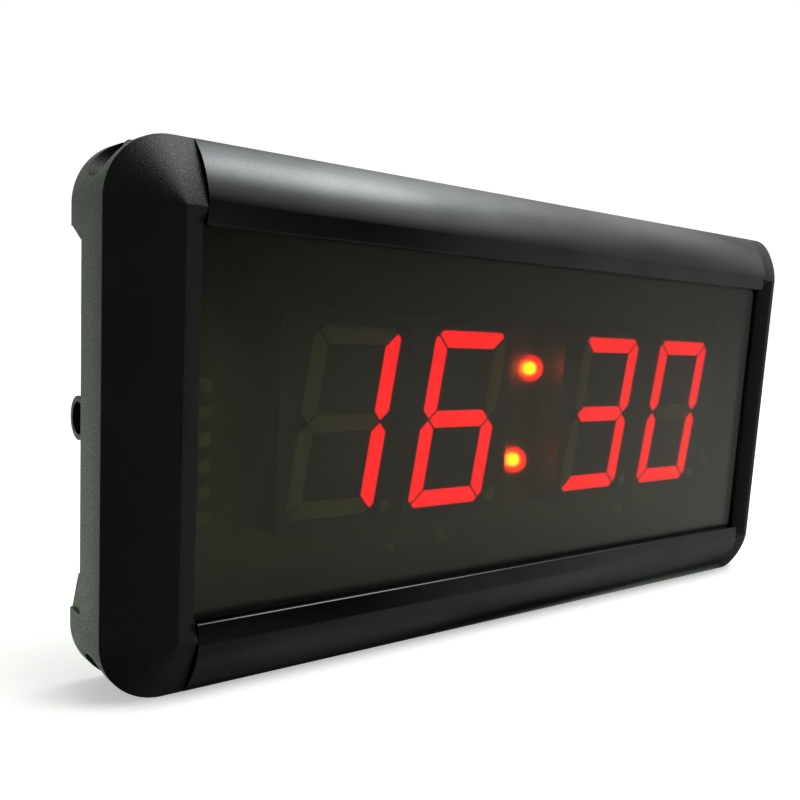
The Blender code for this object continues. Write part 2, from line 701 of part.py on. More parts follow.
def chip(name, x, z, width, height, leads):
    """A small-outline chip: body and bent leads along its two long sides, fused into one solid."""
    thickness = 2.3 * MM
    body = board_box(name, x, z, width, height, thickness, CHIP_BLACK)
    front = BOARD_BACK + GAP
    reach = 1.2 * MM
    pitch = 1.27 * MM
    for i in range(leads):
        lead_x = x + (i - (leads - 1) / 2) * pitch
        lead = box(
            f"{name}_lead_{i + 1}",
            (lead_x - 0.2 * MM, front + 0.02 * MM, z - height / 2 - reach),
            (lead_x + 0.2 * MM, front + 0.9 * MM, z + height / 2 + reach),
        )
        boolean(body, lead, "UNION")
    return body


def coin_cell_and_holder(x, z):
    """A 12.5 mm backup cell lying in a round tray that is open on one side."""
    front = BOARD_BACK + GAP
    cell_radius, cell_thickness = 6.25 * MM, 2.5 * MM
    floor = 0.5 * MM
    rim = cell_radius + GAP + 1.2 * MM
    holder = cylinder(
        "coin_cell_holder", rim, (x, front, z), (x, front + floor + 1.9 * MM, z), CONNECTOR_WHITE
    )
    seat = cylinder(
        "coin_cell_seat", cell_radius + GAP, (x, front + floor, z), (x, front + 5.0 * MM, z)
    )
    finger_gap = box(
        "coin_cell_finger_gap",
        (x - 2.5 * MM, front + floor, z),
        (x + 2.5 * MM, front + 5.0 * MM, z + 2 * rim),
    )
    boolean(holder, seat)
    boolean(holder, finger_gap)
    base = front + floor + GAP
    chamfer = 0.3 * MM
    profile = [
        (0.0, cell_thickness),
        (cell_radius - chamfer, cell_thickness),
        (cell_radius, cell_thickness - chamfer),
        (cell_radius, chamfer),
        (cell_radius - chamfer, 0.0),
        (0.0, 0.0),
    ]
    turned("coin_cell", profile, (x, base, z), (0, 1, 0), CELL_STEEL)


def buzzer(x, z):
    """A square surface-mount sounder with its sound hole."""
    body = board_box("buzzer", x, z, 9.0 * MM, 9.0 * MM, 2.8 * MM, CHIP_BLACK)
    top = BOARD_BACK + GAP + 2.8 * MM
    hole = cylinder("buzzer_sound_hole", 1.0 * MM, (x, top - 1.5 * MM, z), (x, top + 1.0 * MM, z), sides=12)
    boolean(body, hole)


def clock_crystal(x, z):
    """A watch crystal's can, lying on the board."""
    radius = 1.0 * MM
    depth = BOARD_BACK + GAP + radius
    cylinder("clock_crystal", radius, (x - 3.0 * MM, depth, z), (x + 3.0 * MM, depth, z), CELL_STEEL, sides=16)


def power_connector(x, z):
    """The two-way socket that the power cable plugs into, open towards the left cap."""
    front = BOARD_BACK + GAP
    width, height, thickness = 7.0 * MM, 7.5 * MM, 3.4 * MM
    body = board_box("power_connector", x, z, width, height, thickness, CONNECTOR_WHITE)
    wall = 0.7 * MM
    mouth = box(
        "power_connector_mouth",
        (x - width / 2 - 1.0 * MM, front + wall, z - height / 2 + wall),
        (x + width / 2 - 1.5 * MM, front + thickness - wall, z + height / 2 - wall),
    )
    boolean(body, mouth)


def voltage_regulator(x, z):
    """A regulator with its wide tab."""
    body = board_box("voltage_regulator", x, z, 6.5 * MM, 3.5 * MM, 1.7 * MM, CHIP_BLACK)
    front = BOARD_BACK + GAP
    tab = box(
        "voltage_regulator_tab",
        (x - 1.5 * MM, front + 0.02 * MM, z - 3.4 * MM),
        (x + 1.5 * MM, front + 0.5 * MM, z + 3.4 * MM),
    )
    boolean(body, tab, "UNION")


def set_button(word, x):
    """A push switch on the board, and its stem, which comes out through the back panel."""
    front = BOARD_BACK + GAP
    back = front + SWITCH_HEIGHT
    half = SWITCH_SIZE / 2
    body = box(f"{word}_switch", (x - half, front, BUTTON_Z - half), (x + half, back, BUTTON_Z + half), CHIP_BLACK)
    cover = 0.6 * MM
    flange_radius = STEM_RADIUS + 0.5 * MM
    chamber = cylinder(
        f"{word}_switch_chamber",
        flange_radius + GAP,
        (x, front + 0.8 * MM, BUTTON_Z),
        (x, back - cover, BUTTON_Z),
    )
    throat = cylinder(
        f"{word}_switch_throat",
        STEM_RADIUS + 0.25 * MM,
        (x, back - 2 * cover, BUTTON_Z),
        (x, back + 1.0 * MM, BUTTON_Z),
    )
    boolean(body, chamber)
    boolean(body, throat)
    flange_back = back - cover - GAP
    flange_thickness = 0.6 * MM
    length = STEM_END - flange_back + flange_thickness
    edge = 0.3 * MM
    profile = [
        (0.0, length),
        (STEM_RADIUS - edge, length),
        (STEM_RADIUS, length - edge),
        (STEM_RADIUS, flange_thickness),
        (flange_radius, flange_thickness),
        (flange_radius, 0.0),
        (0.0, 0.0),
    ]
    base = (x, flange_back - flange_thickness, BUTTON_Z)
    turned(f"{word}_button", profile, base, (0, 1, 0), PANEL_PLASTIC)


def back_panel():
    """The flat back, with a hole for each button's stem."""
    end = RAIL_END_X - 0.1 * MM
    back = PANEL_FRONT + PANEL_THICKNESS
    panel = box("back_panel", (-end, PANEL_FRONT, -PANEL_Z), (end, back, PANEL_Z), PANEL_PLASTIC)
    for word, x in zip(BUTTON_NAMES, BUTTON_X):
        hole = cylinder(
            f"{word}_button_hole",
            STEM_RADIUS + 0.4 * MM,
            (x, PANEL_FRONT - 1.0 * MM, BUTTON_Z),
            (x, back + 1.0 * MM, BUTTON_Z),
        )
        boolean(panel, hole)


def window():
    """The smoked sheet behind the opening, held in the rails' grooves and behind the caps' lips."""
    end = OPENING_X + 2.2 * MM
    half_height = RAIL_OPENING_Z + WINDOW_GROOVE_DEPTH - GAP
    back = WINDOW_FRONT + WINDOW_THICKNESS
    box("display_window", (-end, WINDOW_FRONT, -half_height), (end, back, half_height), SMOKED)


def board():
    """The circuit board and what is soldered to its back and front."""
    end = RAIL_END_X - GAP
    box("main_board", (-end, BOARD_FRONT, -BOARD_Z), (end, BOARD_BACK, BOARD_Z), BOARD_GREEN)
    chip("microcontroller", 0.0, -12.0 * MM, 17.9 * MM, 7.5 * MM, 14)
    chip("segment_driver_left", -45.0 * MM, -12.0 * MM, 10.3 * MM, 7.5 * MM, 8)
    chip("segment_driver_right", 45.0 * MM, -12.0 * MM, 10.3 * MM, 7.5 * MM, 8)
    clock_crystal(0.0, -24.0 * MM)
    coin_cell_and_holder(-55.0 * MM, 26.0 * MM)
    buzzer(25.0 * MM, 26.0 * MM)
    voltage_regulator(-88.0 * MM, -18.0 * MM)
    board_box("smoothing_capacitor", -88.0 * MM, -30.0 * MM, 7.3 * MM, 4.3 * MM, 2.9 * MM, TANTALUM)
    power_connector(-98.0 * MM, OUTLET_Z)
    infrared_receiver(98.0 * MM, -22.0 * MM)


def main():
    rail("top_rail", 1)
    rail("bottom_rail", -1)
    end_cap("left_end_cap", -1, with_outlet=True)
    end_cap("right_end_cap", 1, with_outlet=False)
    for side_word, side in (("left", -1), ("right", 1)):
        for up_word, up in (("upper", 1), ("lower", -1)):
            cap_screw(f"{side_word}_{up_word}_cap_screw", side, up)
    window()
    back_panel()
    board()
    for index in range(4):
        digit(index)
    colon_lamp("colon_lamp_upper", 1)
    colon_lamp("colon_lamp_lower", -1)
    for word, x in zip(BUTTON_NAMES, BUTTON_X):
        set_button(word, x)


main()
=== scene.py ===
"""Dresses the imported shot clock: fine shapes, finishes, soft light and the photograph's camera.

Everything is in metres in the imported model's frame: x to the viewer's right, y back into the clock
and z up, with the clock standing on z = 0. Sizes of sections are given about the ridge centre, the
middle of the bezel's foremost line, because the rails and the caps are drawn round that line.
"""

import logging
import math
from dataclasses import dataclass, field
from enum import Enum
from typing import Any, ClassVar

import bmesh
import bpy
from mathutils import Matrix, Vector

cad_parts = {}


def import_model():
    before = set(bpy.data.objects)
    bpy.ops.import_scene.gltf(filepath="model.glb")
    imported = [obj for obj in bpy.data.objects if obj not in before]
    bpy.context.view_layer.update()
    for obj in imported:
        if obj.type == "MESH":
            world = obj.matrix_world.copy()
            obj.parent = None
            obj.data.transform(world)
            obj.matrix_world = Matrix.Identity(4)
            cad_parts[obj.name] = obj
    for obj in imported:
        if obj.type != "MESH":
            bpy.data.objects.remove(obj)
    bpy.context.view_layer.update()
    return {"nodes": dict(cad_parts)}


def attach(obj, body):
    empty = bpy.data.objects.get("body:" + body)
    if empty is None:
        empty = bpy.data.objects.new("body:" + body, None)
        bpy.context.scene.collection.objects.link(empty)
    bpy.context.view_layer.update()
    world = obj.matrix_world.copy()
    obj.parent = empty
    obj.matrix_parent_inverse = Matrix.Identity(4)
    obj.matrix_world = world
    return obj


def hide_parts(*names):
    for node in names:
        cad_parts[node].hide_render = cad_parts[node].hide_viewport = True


LOG = logging.getLogger("shot_clock")
MM = 0.001
CLOCK = "clock"

# The ridge centre's place, and the outer sizes
RIDGE_CENTRE = Vector((0.0, -12.8 * MM, 60.0 * MM))
HALF_WIDTH = 125.5 * MM
HALF_HEIGHT = 60.0 * MM
DEPTH = 25.6 * MM

# The bezel that the rails and the caps share
BEZEL_WIDTH = 14.3 * MM
BEZEL_DEPTH = 7.6 * MM
CHAMFER_WIDTH = 4.6 * MM
CHAMFER_DEPTH = 2.25 * MM
RIDGE_X = HALF_WIDTH - BEZEL_WIDTH
RIDGE_Z = HALF_HEIGHT - BEZEL_WIDTH
OPENING_X = RIDGE_X - CHAMFER_WIDTH
GAP = 0.3 * MM

# Depths of what the rails hold, from the front
WINDOW_FRONT = 3.1 * MM
WINDOW_BACK = 5.6 * MM
DIGIT_FRONT = 7.1 * MM
DIGIT_BACK = 16.6 * MM
BOARD_FRONT = 16.9 * MM
BOARD_BACK = 18.5 * MM
PANEL_FRONT = 22.5 * MM

# Screws in the caps' corners
SCREW_DEPTH = 15.6 * MM
SCREW_Z = 56.2 * MM
SCREW_SEAT_X = 116.0 * MM

# What comes in pairs or sets
LEVELS = (("upper", 1), ("lower", -1))
BUTTONS = ("mode", "up", "down")

# Where the noise of the finishes mostly lies
NOISE_SPAN = (0.3, 0.7)

# Turns what points up to point at the viewer
FACING = Matrix.Rotation(math.pi / 2, 4, "X")

Point = tuple[float, float]
Inputs = dict[str | int, Any]
Object = bpy.types.Object
Tree = bpy.types.NodeTree
Node = bpy.types.Node
Socket = bpy.types.NodeSocket


class Lamp(Enum):
    """Whether a segment is on or off."""

    ON = "lit"
    OFF = "unlit"


class Cut(Enum):
    """What a cutter does to a solid."""

    AWAY = "DIFFERENCE"
    ADDED = "UNION"


class Side(Enum):
    """The clock's two ends, by the sign of x."""

    LEFT = -1
    RIGHT = 1


def linear(colour: str) -> tuple[float, float, float, float]:
    """Turns an sRGB hex colour into linear red, green, blue and alpha.

    Args:
        colour: Six hex digits after a hash sign.

    Returns:
        The four linear values, with alpha 1.
    """
    values = [int(colour[i : i + 2], 16) / 255 for i in (1, 3, 5)]
    lit = [v / 12.92 if v <= 0.04045 else ((v + 0.055) / 1.055) ** 2.4 for v in values]
    return (*lit, 1.0)


def fill_inputs(node: Node, values: Inputs) -> None:
    """Sets or links some of a node's inputs.

    Args:
        node: The node.
        values: By input name or number, a value, a socket, or a node whose first output is meant.
    """
    for name, value in values.items():
        source = value.outputs[0] if isinstance(value, Node) else value
        if isinstance(source, Socket):
            node.id_data.links.new(source, node.inputs[name])
        else:
            node.inputs[name].default_value = source


def add_node(tree: Tree, kind: str, values: Inputs | None = None, **settings: Any) -> Node:
    """Adds a node with its settings, and sets or links its inputs.

    Args:
        tree: The node tree that gets the node.
        kind: Blender's name for the node's type.
        values: What its inputs get.
        settings: Attributes of the node itself.

    Returns:
        The new node.
    """
    node = tree.nodes.new(kind)
    for name, setting in settings.items():
        setattr(node, name, setting)
    fill_inputs(node, values or {})
    return node


def speckle(place: Node | Socket, grain: float, detail: float = 2.0) -> Node:
    """Adds even noise, 0.5 on average, whose blotches are about one grain across."""
    size = {"Scale": 1 / grain, "Detail": detail}
    return add_node(place.id_data, "ShaderNodeTexNoise", {"Vector": place, **size})


def mean(first: Node, second: Node) -> Node:
    """Adds the mean of two noises."""
    total = add_node(first.id_data, "ShaderNodeMath", {0: first, 1: second}, operation="ADD")
    return add_node(first.id_data, "ShaderNodeMath", {0: total, 1: 0.5}, operation="MULTIPLY")


def tint(factor: Node, low: str, high: str, span: Point = NOISE_SPAN) -> Node:
    """Turns noise into a colour between two.

    Args:
        factor: The noise.
        low: The colour where the noise is low, in hex.
        high: The colour where it is high.
        span: The noise's values that give the two colours.

    Returns:
        The node that gives the colour.
    """
    ramp = add_node(factor.id_data, "ShaderNodeValToRGB", {"Fac": factor})
    for i, colour in enumerate((low, high)):
        ramp.color_ramp.elements[i].position = span[i]
        ramp.color_ramp.elements[i].color = linear(colour)
    return ramp


def spread(factor: Node, middle: float, span: Point) -> Node:
    """Maps noise to values round a middle.

    Args:
        factor: The noise.
        middle: The usual value.
        span: How far the lowest and the highest value stand from it.

    Returns:
        The node that gives the value.
    """
    low, high = NOISE_SPAN
    ends = {"From Min": low, "From Max": high, "To Min": middle + span[0], "To Max": middle + span[1]}
    return add_node(factor.id_data, "ShaderNodeMapRange", {"Value": factor, **ends})


def relief(height: Node, depth: float) -> Node:
    """Adds a bump of a real depth in metres."""
    bump = {"Height": height, "Distance": depth, "Strength": 1.0}
    return add_node(height.id_data, "ShaderNodeBump", bump)


class Finish:
    """What every finish shares: a Principled shader on Object coordinates, made once."""

    made: ClassVar[dict[str, bpy.types.Material]] = {}
    name: str
    colour: str
    roughness: float
    uneven: Point = (0.0, 0.0)
    depth: float

    def material(self) -> bpy.types.Material:
        """Makes the finish's material, or gives the one that is there.

        Returns:
            The material, with its pattern built in nodes.
        """
        if self.name not in Finish.made:
            material = bpy.data.materials.new(self.name)
            material.use_nodes = True
            material.diffuse_color = linear(self.colour)
            shader = material.node_tree.nodes["Principled BSDF"]
            fill_inputs(shader, {"Base Color": linear(self.colour), "Roughness": self.roughness})
            place = material.node_tree.nodes.new("ShaderNodeTexCoord").outputs["Object"]
            fill_inputs(shader, self.inputs(place))
            Finish.made[self.name] = material
        return Finish.made[self.name]

    def surface(self, noise: Node) -> Inputs:
        """Gives an uneven gloss and a bump that both follow a noise."""
        return {"Roughness": spread(noise, self.roughness, self.uneven), "Normal": relief(noise, self.depth)}

    def inputs(self, place: Socket) -> Inputs:
        """Gives what the shader's inputs get, from the piece's Object coordinates."""
        raise NotImplementedError


@dataclass(frozen=True)
class AnodisedAluminium(Finish):
    """Extruded aluminium, etched and anodised black: a satin metal with a soft, wide sheen.

    The die leaves faint lines along the length, and the etch a fine even grain over them.
    """

    name: str = "black_anodised_aluminium"
    colour: str = "#4c4e4e"
    roughness: float = 0.19
    uneven: Point = (-0.02, 0.03)
    line: float = 0.35 * MM
    grain: float = 0.3 * MM
    blotch: float = 18 * MM
    depth: float = 0.006 * MM

    def inputs(self, place: Socket) -> Inputs:
        """Makes the die lines, the etched grain and a slow change of shade.

        Args:
            place: The piece's Object coordinates.

        Returns:
            What the shader's inputs get.
        """
        along = add_node(place.id_data, "ShaderNodeMapping", {"Vector": place, "Scale": (0.01, 1.0, 1.0)})
        grain = speckle(place, self.grain)
        shade = tint(mean(speckle(place, self.blotch, 1.0), grain), "#414343", "#565859")
        lines = mean(speckle(along, self.line, 3.0), grain)
        return {"Metallic": 1.0, "Base Color": shade, **self.surface(lines)}


@dataclass(frozen=True)
class SparkedPlastic(Finish):
    """ABS moulded in a spark-eroded tool: deep black, with a fine grain that glitters in a glancing light.

    The grain is drawn about twice as coarse as the tool's, so that it shows at the photograph's size.
    """

    name: str = "black_sparked_abs"
    colour: str = "#0b0c0b"
    shade: str = "#0f100f"
    roughness: float = 0.22
    grain: float = 0.42 * MM
    depth: float = 0.06 * MM
    uneven: Point = (-0.1, 0.2)
    fine_share: float = 0.4
    mark: float = 9 * MM
    ior: float = 1.38

    def inputs(self, place: Socket) -> Inputs:
        """Makes the grain, its uneven gloss and faint handling marks.

        Args:
            place: The piece's Object coordinates.

        Returns:
            What the shader's inputs get.
        """
        pits, fine = speckle(place, self.grain, 1.0), speckle(place, self.grain / 3, 0.0)
        layers = {0: fine, 1: self.fine_share, 2: pits}
        grain = add_node(place.id_data, "ShaderNodeMath", layers, operation="MULTIPLY_ADD")
        marks = tint(speckle(place, self.mark, 3.0), self.colour, self.shade)
        return {"IOR": self.ior, "Base Color": marks, **self.surface(grain)}


@dataclass(frozen=True)
class SmokedAcrylic(Finish):
    """Cast acrylic sheet, dyed a smoky olive: lit digits show through it and the rest sinks into the dark."""

    name: str = "smoked_acrylic"
    colour: str = "#a3a28c"
    roughness: float = 0.16
    uneven: Point = (-0.02, 0.02)
    ripple: float = 6 * MM
    depth: float = 0.004 * MM

    def inputs(self, place: Socket) -> Inputs:
        """Makes the sheet clear, with a faint orange-peel on its surface."""
        ripple = speckle(place, self.ripple, 1.0)
        return {"Transmission Weight": 1.0, "IOR": 1.49, **self.surface(ripple)}


@dataclass(frozen=True)
class ModuleFace(Finish):
    """Filled epoxy, printed a dull dark grey on its face so that unlit segments hide in it."""

    name: str = "grey_module_face"
    colour: str = "#1c1d19"
    roughness: float = 0.7
    uneven: Point = (-0.08, 0.08)
    blotch: float = 7 * MM
    grain: float = 0.4 * MM
    depth: float = 0.02 * MM

    def inputs(self, place: Socket) -> Inputs:
        """Makes the ink's fine grain and a slow change of shade."""
        shade = tint(speckle(place, self.blotch), self.colour, "#22231e")
        return {"Base Color": shade, **self.surface(speckle(place, self.grain))}


@dataclass(frozen=True)
class MilkyEpoxy(Finish):
    """Clear epoxy clouded with a diffuser, unlit: a faint olive through the smoked sheet."""

    name: str = "milky_epoxy_unlit"
    colour: str = "#75724f"
    roughness: float = 0.45
    cloud: float = 1.6 * MM
    depth: float = 0.02 * MM

    def inputs(self, place: Socket) -> Inputs:
        """Makes clouds in the resin and its small sink marks."""
        clouds = speckle(place, self.cloud, 3.0)
        return {"Base Color": tint(clouds, "#6c694c", "#7d7a59"), "Normal": relief(clouds, self.depth)}


@dataclass(frozen=True)
class LitEpoxy(Finish):
    """The same resin with its light-emitting chips on: an even, saturated red."""

    name: str = "milky_epoxy_lit"
    colour: str = "#8a1512"
    roughness: float = 0.45
    strength: float = 2.9
    cloud: float = 2.2 * MM
    depth: float = 0.02 * MM

    def inputs(self, place: Socket) -> Inputs:
        """Makes the light, a little uneven as the chips behind the resin are."""
        clouds = speckle(place, self.cloud, 1.0)
        light = {"Emission Color": tint(clouds, "#fb0c1a", "#ff1422"), "Emission Strength": self.strength}
        return {**light, "Normal": relief(clouds, self.depth)}


@dataclass(frozen=True)
class RedLens(Finish):
    """A lamp's body, cast in red epoxy with a diffuser: it glows red all over and less towards its foot, where
    painted shade darkens its colour.
    """

    name: str = "red_lamp_epoxy"
    colour: str = "#ff3c18"
    # Painted shade: the dark red that the lens's colour turns to at its foot
    foot: str = "#1c0504"
    roughness: float = 0.2
    uneven: Point = (-0.04, 0.04)
    cloud: float = 1.2 * MM
    depth: float = 0.02 * MM
    glow: float = 4.0
    glow_ends_y: float = 1.0 * MM
    glow_fade_and_painted_shade: float = 5.2 * MM

    def inputs(self, place: Socket) -> Inputs:
        """Makes the resin clear and cloudy, fades its glow towards its foot, and darkens its colour there with
        painted shade.

        Args:
            place: The piece's Object coordinates.

        Returns:
            What the shader's inputs get.
        """
        tree = place.id_data
        clouds = speckle(place, self.cloud)
        back = add_node(tree, "ShaderNodeSeparateXYZ", {"Vector": place}).outputs["Y"]
        ends = {"Value": back, "From Min": self.glow_ends_y - self.glow_fade_and_painted_shade, "From Max": self.glow_ends_y}
        # Painted shade: the colour darkens from the dome towards the foot, as if the lead frame shaded the
        # resin
        down = add_node(tree, "ShaderNodeMapRange", ends)
        glow = add_node(tree, "ShaderNodeMapRange", {**ends, "To Min": self.glow, "To Max": 0.0})
        return {
            "Transmission Weight": 1.0,
            "IOR": 1.3,
            "Base Color": tint(down, self.colour, self.foot, (0.0, 1.0)),
            "Emission Color": tint(clouds, "#ff060c", "#ff0c14"),
            "Emission Strength": glow,
            **self.surface(clouds),
        }


@dataclass(frozen=True)
class LitChip(Finish):
    """The light-emitting chip's glow in the resin round it, a hot yellow point."""

    name: str = "lit_lamp_chip"
    colour: str = "#ffb020"
    roughness: float = 0.4
    strength: float = 27.0
    grain: float = 0.4 * MM

    def inputs(self, place: Socket) -> Inputs:
        """Makes the light, with the resin's faint grain in it."""
        light = tint(speckle(place, self.grain), "#ffc400", "#ffd008")
        return {"Emission Color": light, "Emission Strength": self.strength}


@dataclass(frozen=True)
class SolderMask(Finish):
    """Glass-epoxy board under a black solder mask: tracks stand under the gloss as low ridges."""

    name: str = "black_solder_mask"
    colour: str = "#0f1210"
    roughness: float = 0.35
    track: float = 1.27 * MM
    turns: float = 14.0
    depth: float = 0.02 * MM

    def inputs(self, place: Socket) -> Inputs:
        """Makes the tracks as the mask shows them, the same all through the board's depth.

        Args:
            place: The piece's Object coordinates.

        Returns:
            What the shader's inputs get.
        """
        tree = place.id_data
        flat = add_node(tree, "ShaderNodeMapping", {"Vector": place, "Scale": (1.0, 0.0, 1.0)})
        cells = {"Vector": flat, "Scale": 1 / (4 * self.track), "Randomness": 0.7}
        bends = add_node(tree, "ShaderNodeTexVoronoi", cells, distance="CHEBYCHEV", feature="F1")
        lines = add_node(tree, "ShaderNodeMath", {0: bends, 1: self.turns}, operation="MULTIPLY")
        tracks = add_node(tree, "ShaderNodeMath", {0: lines}, operation="SINE")
        shade = tint(tracks, self.colour, "#171c17", (0.45, 0.75))
        return {"Base Color": shade, "Normal": relief(tracks, self.depth)}


@dataclass(frozen=True)
class PlatedMetal(Finish):
    """Steel or brass with a bright plating: tumbled, so its gloss is broken by small dents."""

    name: str = "black_zinc_plated_steel"
    colour: str = "#3c3d3f"
    roughness: float = 0.3
    uneven: Point = (-0.06, 0.12)
    dent: float = 0.5 * MM
    depth: float = 0.01 * MM

    def inputs(self, place: Socket) -> Inputs:
        """Makes the dents and the plating's uneven gloss."""
        return {"Metallic": 1.0, **self.surface(speckle(place, self.dent))}


@dataclass(frozen=True)
class MouldedPlastic(Finish):
    """A plain moulded plastic: nearly smooth, with faint flow lines and a dull bloom."""

    name: str = "white_nylon"
    colour: str = "#d8d4c6"
    shade: str = "#cbc6b6"
    roughness: float = 0.5
    uneven: Point = (-0.06, 0.08)
    flow: float = 5 * MM
    grain: float = 0.6 * MM
    depth: float = 0.015 * MM

    def inputs(self, place: Socket) -> Inputs:
        """Makes flow lines and a fine grain."""
        flow = tint(speckle(place, self.flow, 3.0), self.colour, self.shade)
        return {"Base Color": flow, **self.surface(speckle(place, self.grain))}


@dataclass(frozen=True)
class ChipPackage(Finish):
    """A chip: matt epoxy body, with tinned leads that stick out above and below it."""

    name: str = "chip_epoxy_and_leads"
    colour: str = "#16171a"
    roughness: float = 0.6
    centre_z: float = 48 * MM
    half_height: float = 3.76 * MM
    grain: float = 0.3 * MM
    depth: float = 0.02 * MM

    def inputs(self, place: Socket) -> Inputs:
        """Turns the material to tin past the body's edges, and makes the mould's grain.

        Args:
            place: The piece's Object coordinates.

        Returns:
            What the shader's inputs get.
        """
        tree = place.id_data
        lead = add_node(tree, "ShaderNodeSeparateXYZ", {"Vector": place}).outputs["Z"]
        steps = (("SUBTRACT", self.centre_z), ("ABSOLUTE", 0.0), ("GREATER_THAN", self.half_height))
        for operation, other in steps:
            lead = add_node(tree, "ShaderNodeMath", {0: lead, 1: other}, operation=operation)
        shade = tint(lead, self.colour, "#b9bab5", (0.0, 1.0))
        bump = relief(speckle(place, self.grain), self.depth)
        return {"Base Color": shade, "Metallic": lead, "Normal": bump}


BLACK_ALUMINIUM = AnodisedAluminium()
BLACK_CAP = SparkedPlastic()
SMOKED_SHEET = SmokedAcrylic()
MODULE_FACE = ModuleFace()
MODULE_SHELL = MouldedPlastic("black_module_shell", "#141412", "#1a1916", 0.32)
GUIDES = {Lamp.ON: LitEpoxy(), Lamp.OFF: MilkyEpoxy()}
LENS = RedLens()
CHIP_GLOW = LitChip()
BOARD_MASK = SolderMask()
SCREW_STEEL = PlatedMetal()
NICKEL = PlatedMetal("nickel_plated_steel", "#b4b0a6", 0.25)
TIN = MouldedPlastic("fluxed_solder", "#8a8250", "#766f42", 0.4)
NYLON = MouldedPlastic()
PANEL_SHEET = SparkedPlastic("black_sheet_abs", "#101111", "#141515", 0.5, 0.8 * MM, 0.03 * MM)
BUTTON_PLASTIC = MouldedPlastic("black_acetal", "#121314", "#17181a", 0.4)
SWITCH_BODY = MouldedPlastic("black_switch_nylon", "#1a1b1d", "#202124", 0.55)
TANTALUM = MouldedPlastic("yellow_moulded_case", "#c08a24", "#b07c1c", 0.5)
CHIP_EPOXY = MouldedPlastic("black_moulded_epoxy", "#17181b", "#1c1d20", 0.6)
DRIVER = ChipPackage("driver_epoxy_and_leads")
REGULATOR = ChipPackage("regulator_epoxy_and_tab", centre_z=42 * MM, half_height=1.76 * MM)


def fillet(points: list[Point], radii: dict[int, float], steps: int = 4) -> list[Point]:
    """Rounds some corners of an open or closed outline.

    Args:
        points: The outline's corners.
        radii: Radius by corner number; a corner that isn't named stays sharp.
        steps: How many faces a rounded corner gets.

    Returns:
        The outline with each named corner replaced by an arc.
    """
    rounded = []
    for i, point in enumerate(points):
        here = Vector(point)
        if i not in radii:
            rounded.append(tuple(here))
            continue
        before = (Vector(points[i - 1]) - here).normalized()
        after = (Vector(points[(i + 1) % len(points)]) - here).normalized()
        half = before.angle(after) / 2
        reach = radii[i] / math.tan(half)
        centre = here + (before + after).normalized() * radii[i] / math.sin(half)
        start = here + before * reach - centre
        turn = (here + after * reach - centre).angle_signed(start)
        for k in range(steps + 1):
            rounded.append(tuple(centre + Matrix.Rotation(turn * k / steps, 2) @ start))
    return rounded


def circle_points(centre: Point | Vector, radius: float, low: float, high: float, steps: int) -> list[Point]:
    """Gives points on a circle from one angle to another, in radians."""
    turns = [low + (high - low) * i / steps for i in range(steps + 1)]
    return [(centre[0] + radius * math.cos(a), centre[1] + radius * math.sin(a)) for a in turns]


def arc_between(start: Point, end: Point, sagitta: float, steps: int) -> tuple[list[Point], Vector, float]:
    """Makes the arc that bulges to the left of a chord.

    Args:
        start: The arc's first point.
        end: Its last point.
        sagitta: How far it stands off the chord.
        steps: How many straight pieces it has.

    Returns:
        Its points, its centre and its radius.
    """
    first, last = Vector(start), Vector(end)
    chord = last - first
    radius = (chord.length**2 / 4 + sagitta**2) / (2 * sagitta)
    left = Vector((-chord.y, chord.x)).normalized()
    centre = (first + last) / 2 - left * (radius - sagitta)
    low = math.atan2(*(first - centre).yx)
    high = math.atan2(*(last - centre).yx)
    return circle_points(centre, radius, low, high, steps), centre, radius


def rectangle(low: Point, high: Point) -> list[Point]:
    """Gives a rectangle's corners from its lowest and its highest."""
    return [low, (high[0], low[1]), high, (low[0], high[1])]


def at_depth(outline: list[Point], depth: float) -> list[Vector]:
    """Stands an (x, height) outline, given about the ridge centre, at a depth from it."""
    return [RIDGE_CENTRE + Vector((x, depth, z)) for x, z in outline]


def new_object(name: str, data: bpy.types.ID) -> Object:
    """Links a new object that holds a mesh, a curve, a light or a camera.

    Args:
        name: The object's name.
        data: What it holds.

    Returns:
        The object.
    """
    obj = bpy.data.objects.new(name, data)
    bpy.context.scene.collection.objects.link(obj)
    return obj


def mesh_of(name: str, shape: bmesh.types.BMesh) -> bpy.types.Mesh:
    """Turns a bmesh into a mesh, merged and with its faces turned outwards.

    Args:
        name: The mesh's name.
        shape: The bmesh, which is freed.

    Returns:
        The mesh.
    """
    bmesh.ops.remove_doubles(shape, verts=shape.verts, dist=0.001 * MM)
    bmesh.ops.recalc_face_normals(shape, faces=shape.faces)
    mesh = bpy.data.meshes.new(name)
    shape.to_mesh(mesh)
    shape.free()
    return mesh


def skin(name: str, rows: list[list[Any]], ring: bool = True, capped: bool = True) -> Object:
    """Joins rows of points with faces.

    Args:
        name: The new object's name.
        rows: Rows of equally many points.
        ring: Whether each row closes on itself; otherwise one face closes the ends of all rows.
        capped: Whether the first and the last row are filled.

    Returns:
        The object.
    """
    shape = bmesh.new()
    verts = [[shape.verts.new(point) for point in row] for row in rows]
    for row, following in zip(verts, verts[1:]):
        for i in range(0 if ring else 1, len(row)):
            shape.faces.new((row[i - 1], row[i], following[i], following[i - 1]))
    if capped:
        shape.faces.new(verts[0])
        shape.faces.new(verts[-1])
    if not ring:
        shape.faces.new([row[0] for row in verts] + [row[-1] for row in reversed(verts)])
    return new_object(name, mesh_of(name, shape))


def lathe(name: str, profile: list[Point], steps: int, placed: Matrix) -> Object:
    """Turns a profile about z, and places what comes out.

    Args:
        name: The new object's name.
        profile: (radius, height) points from the top to the bottom.
        steps: How many faces go round.
        placed: Where the turned shape goes.

    Returns:
        The object.
    """
    turns = [math.tau * k / steps for k in range(steps)]
    rows = [[placed @ Vector((r * math.cos(a), r * math.sin(a), z)) for a in turns] for r, z in profile]
    return skin(name, rows, capped=False)


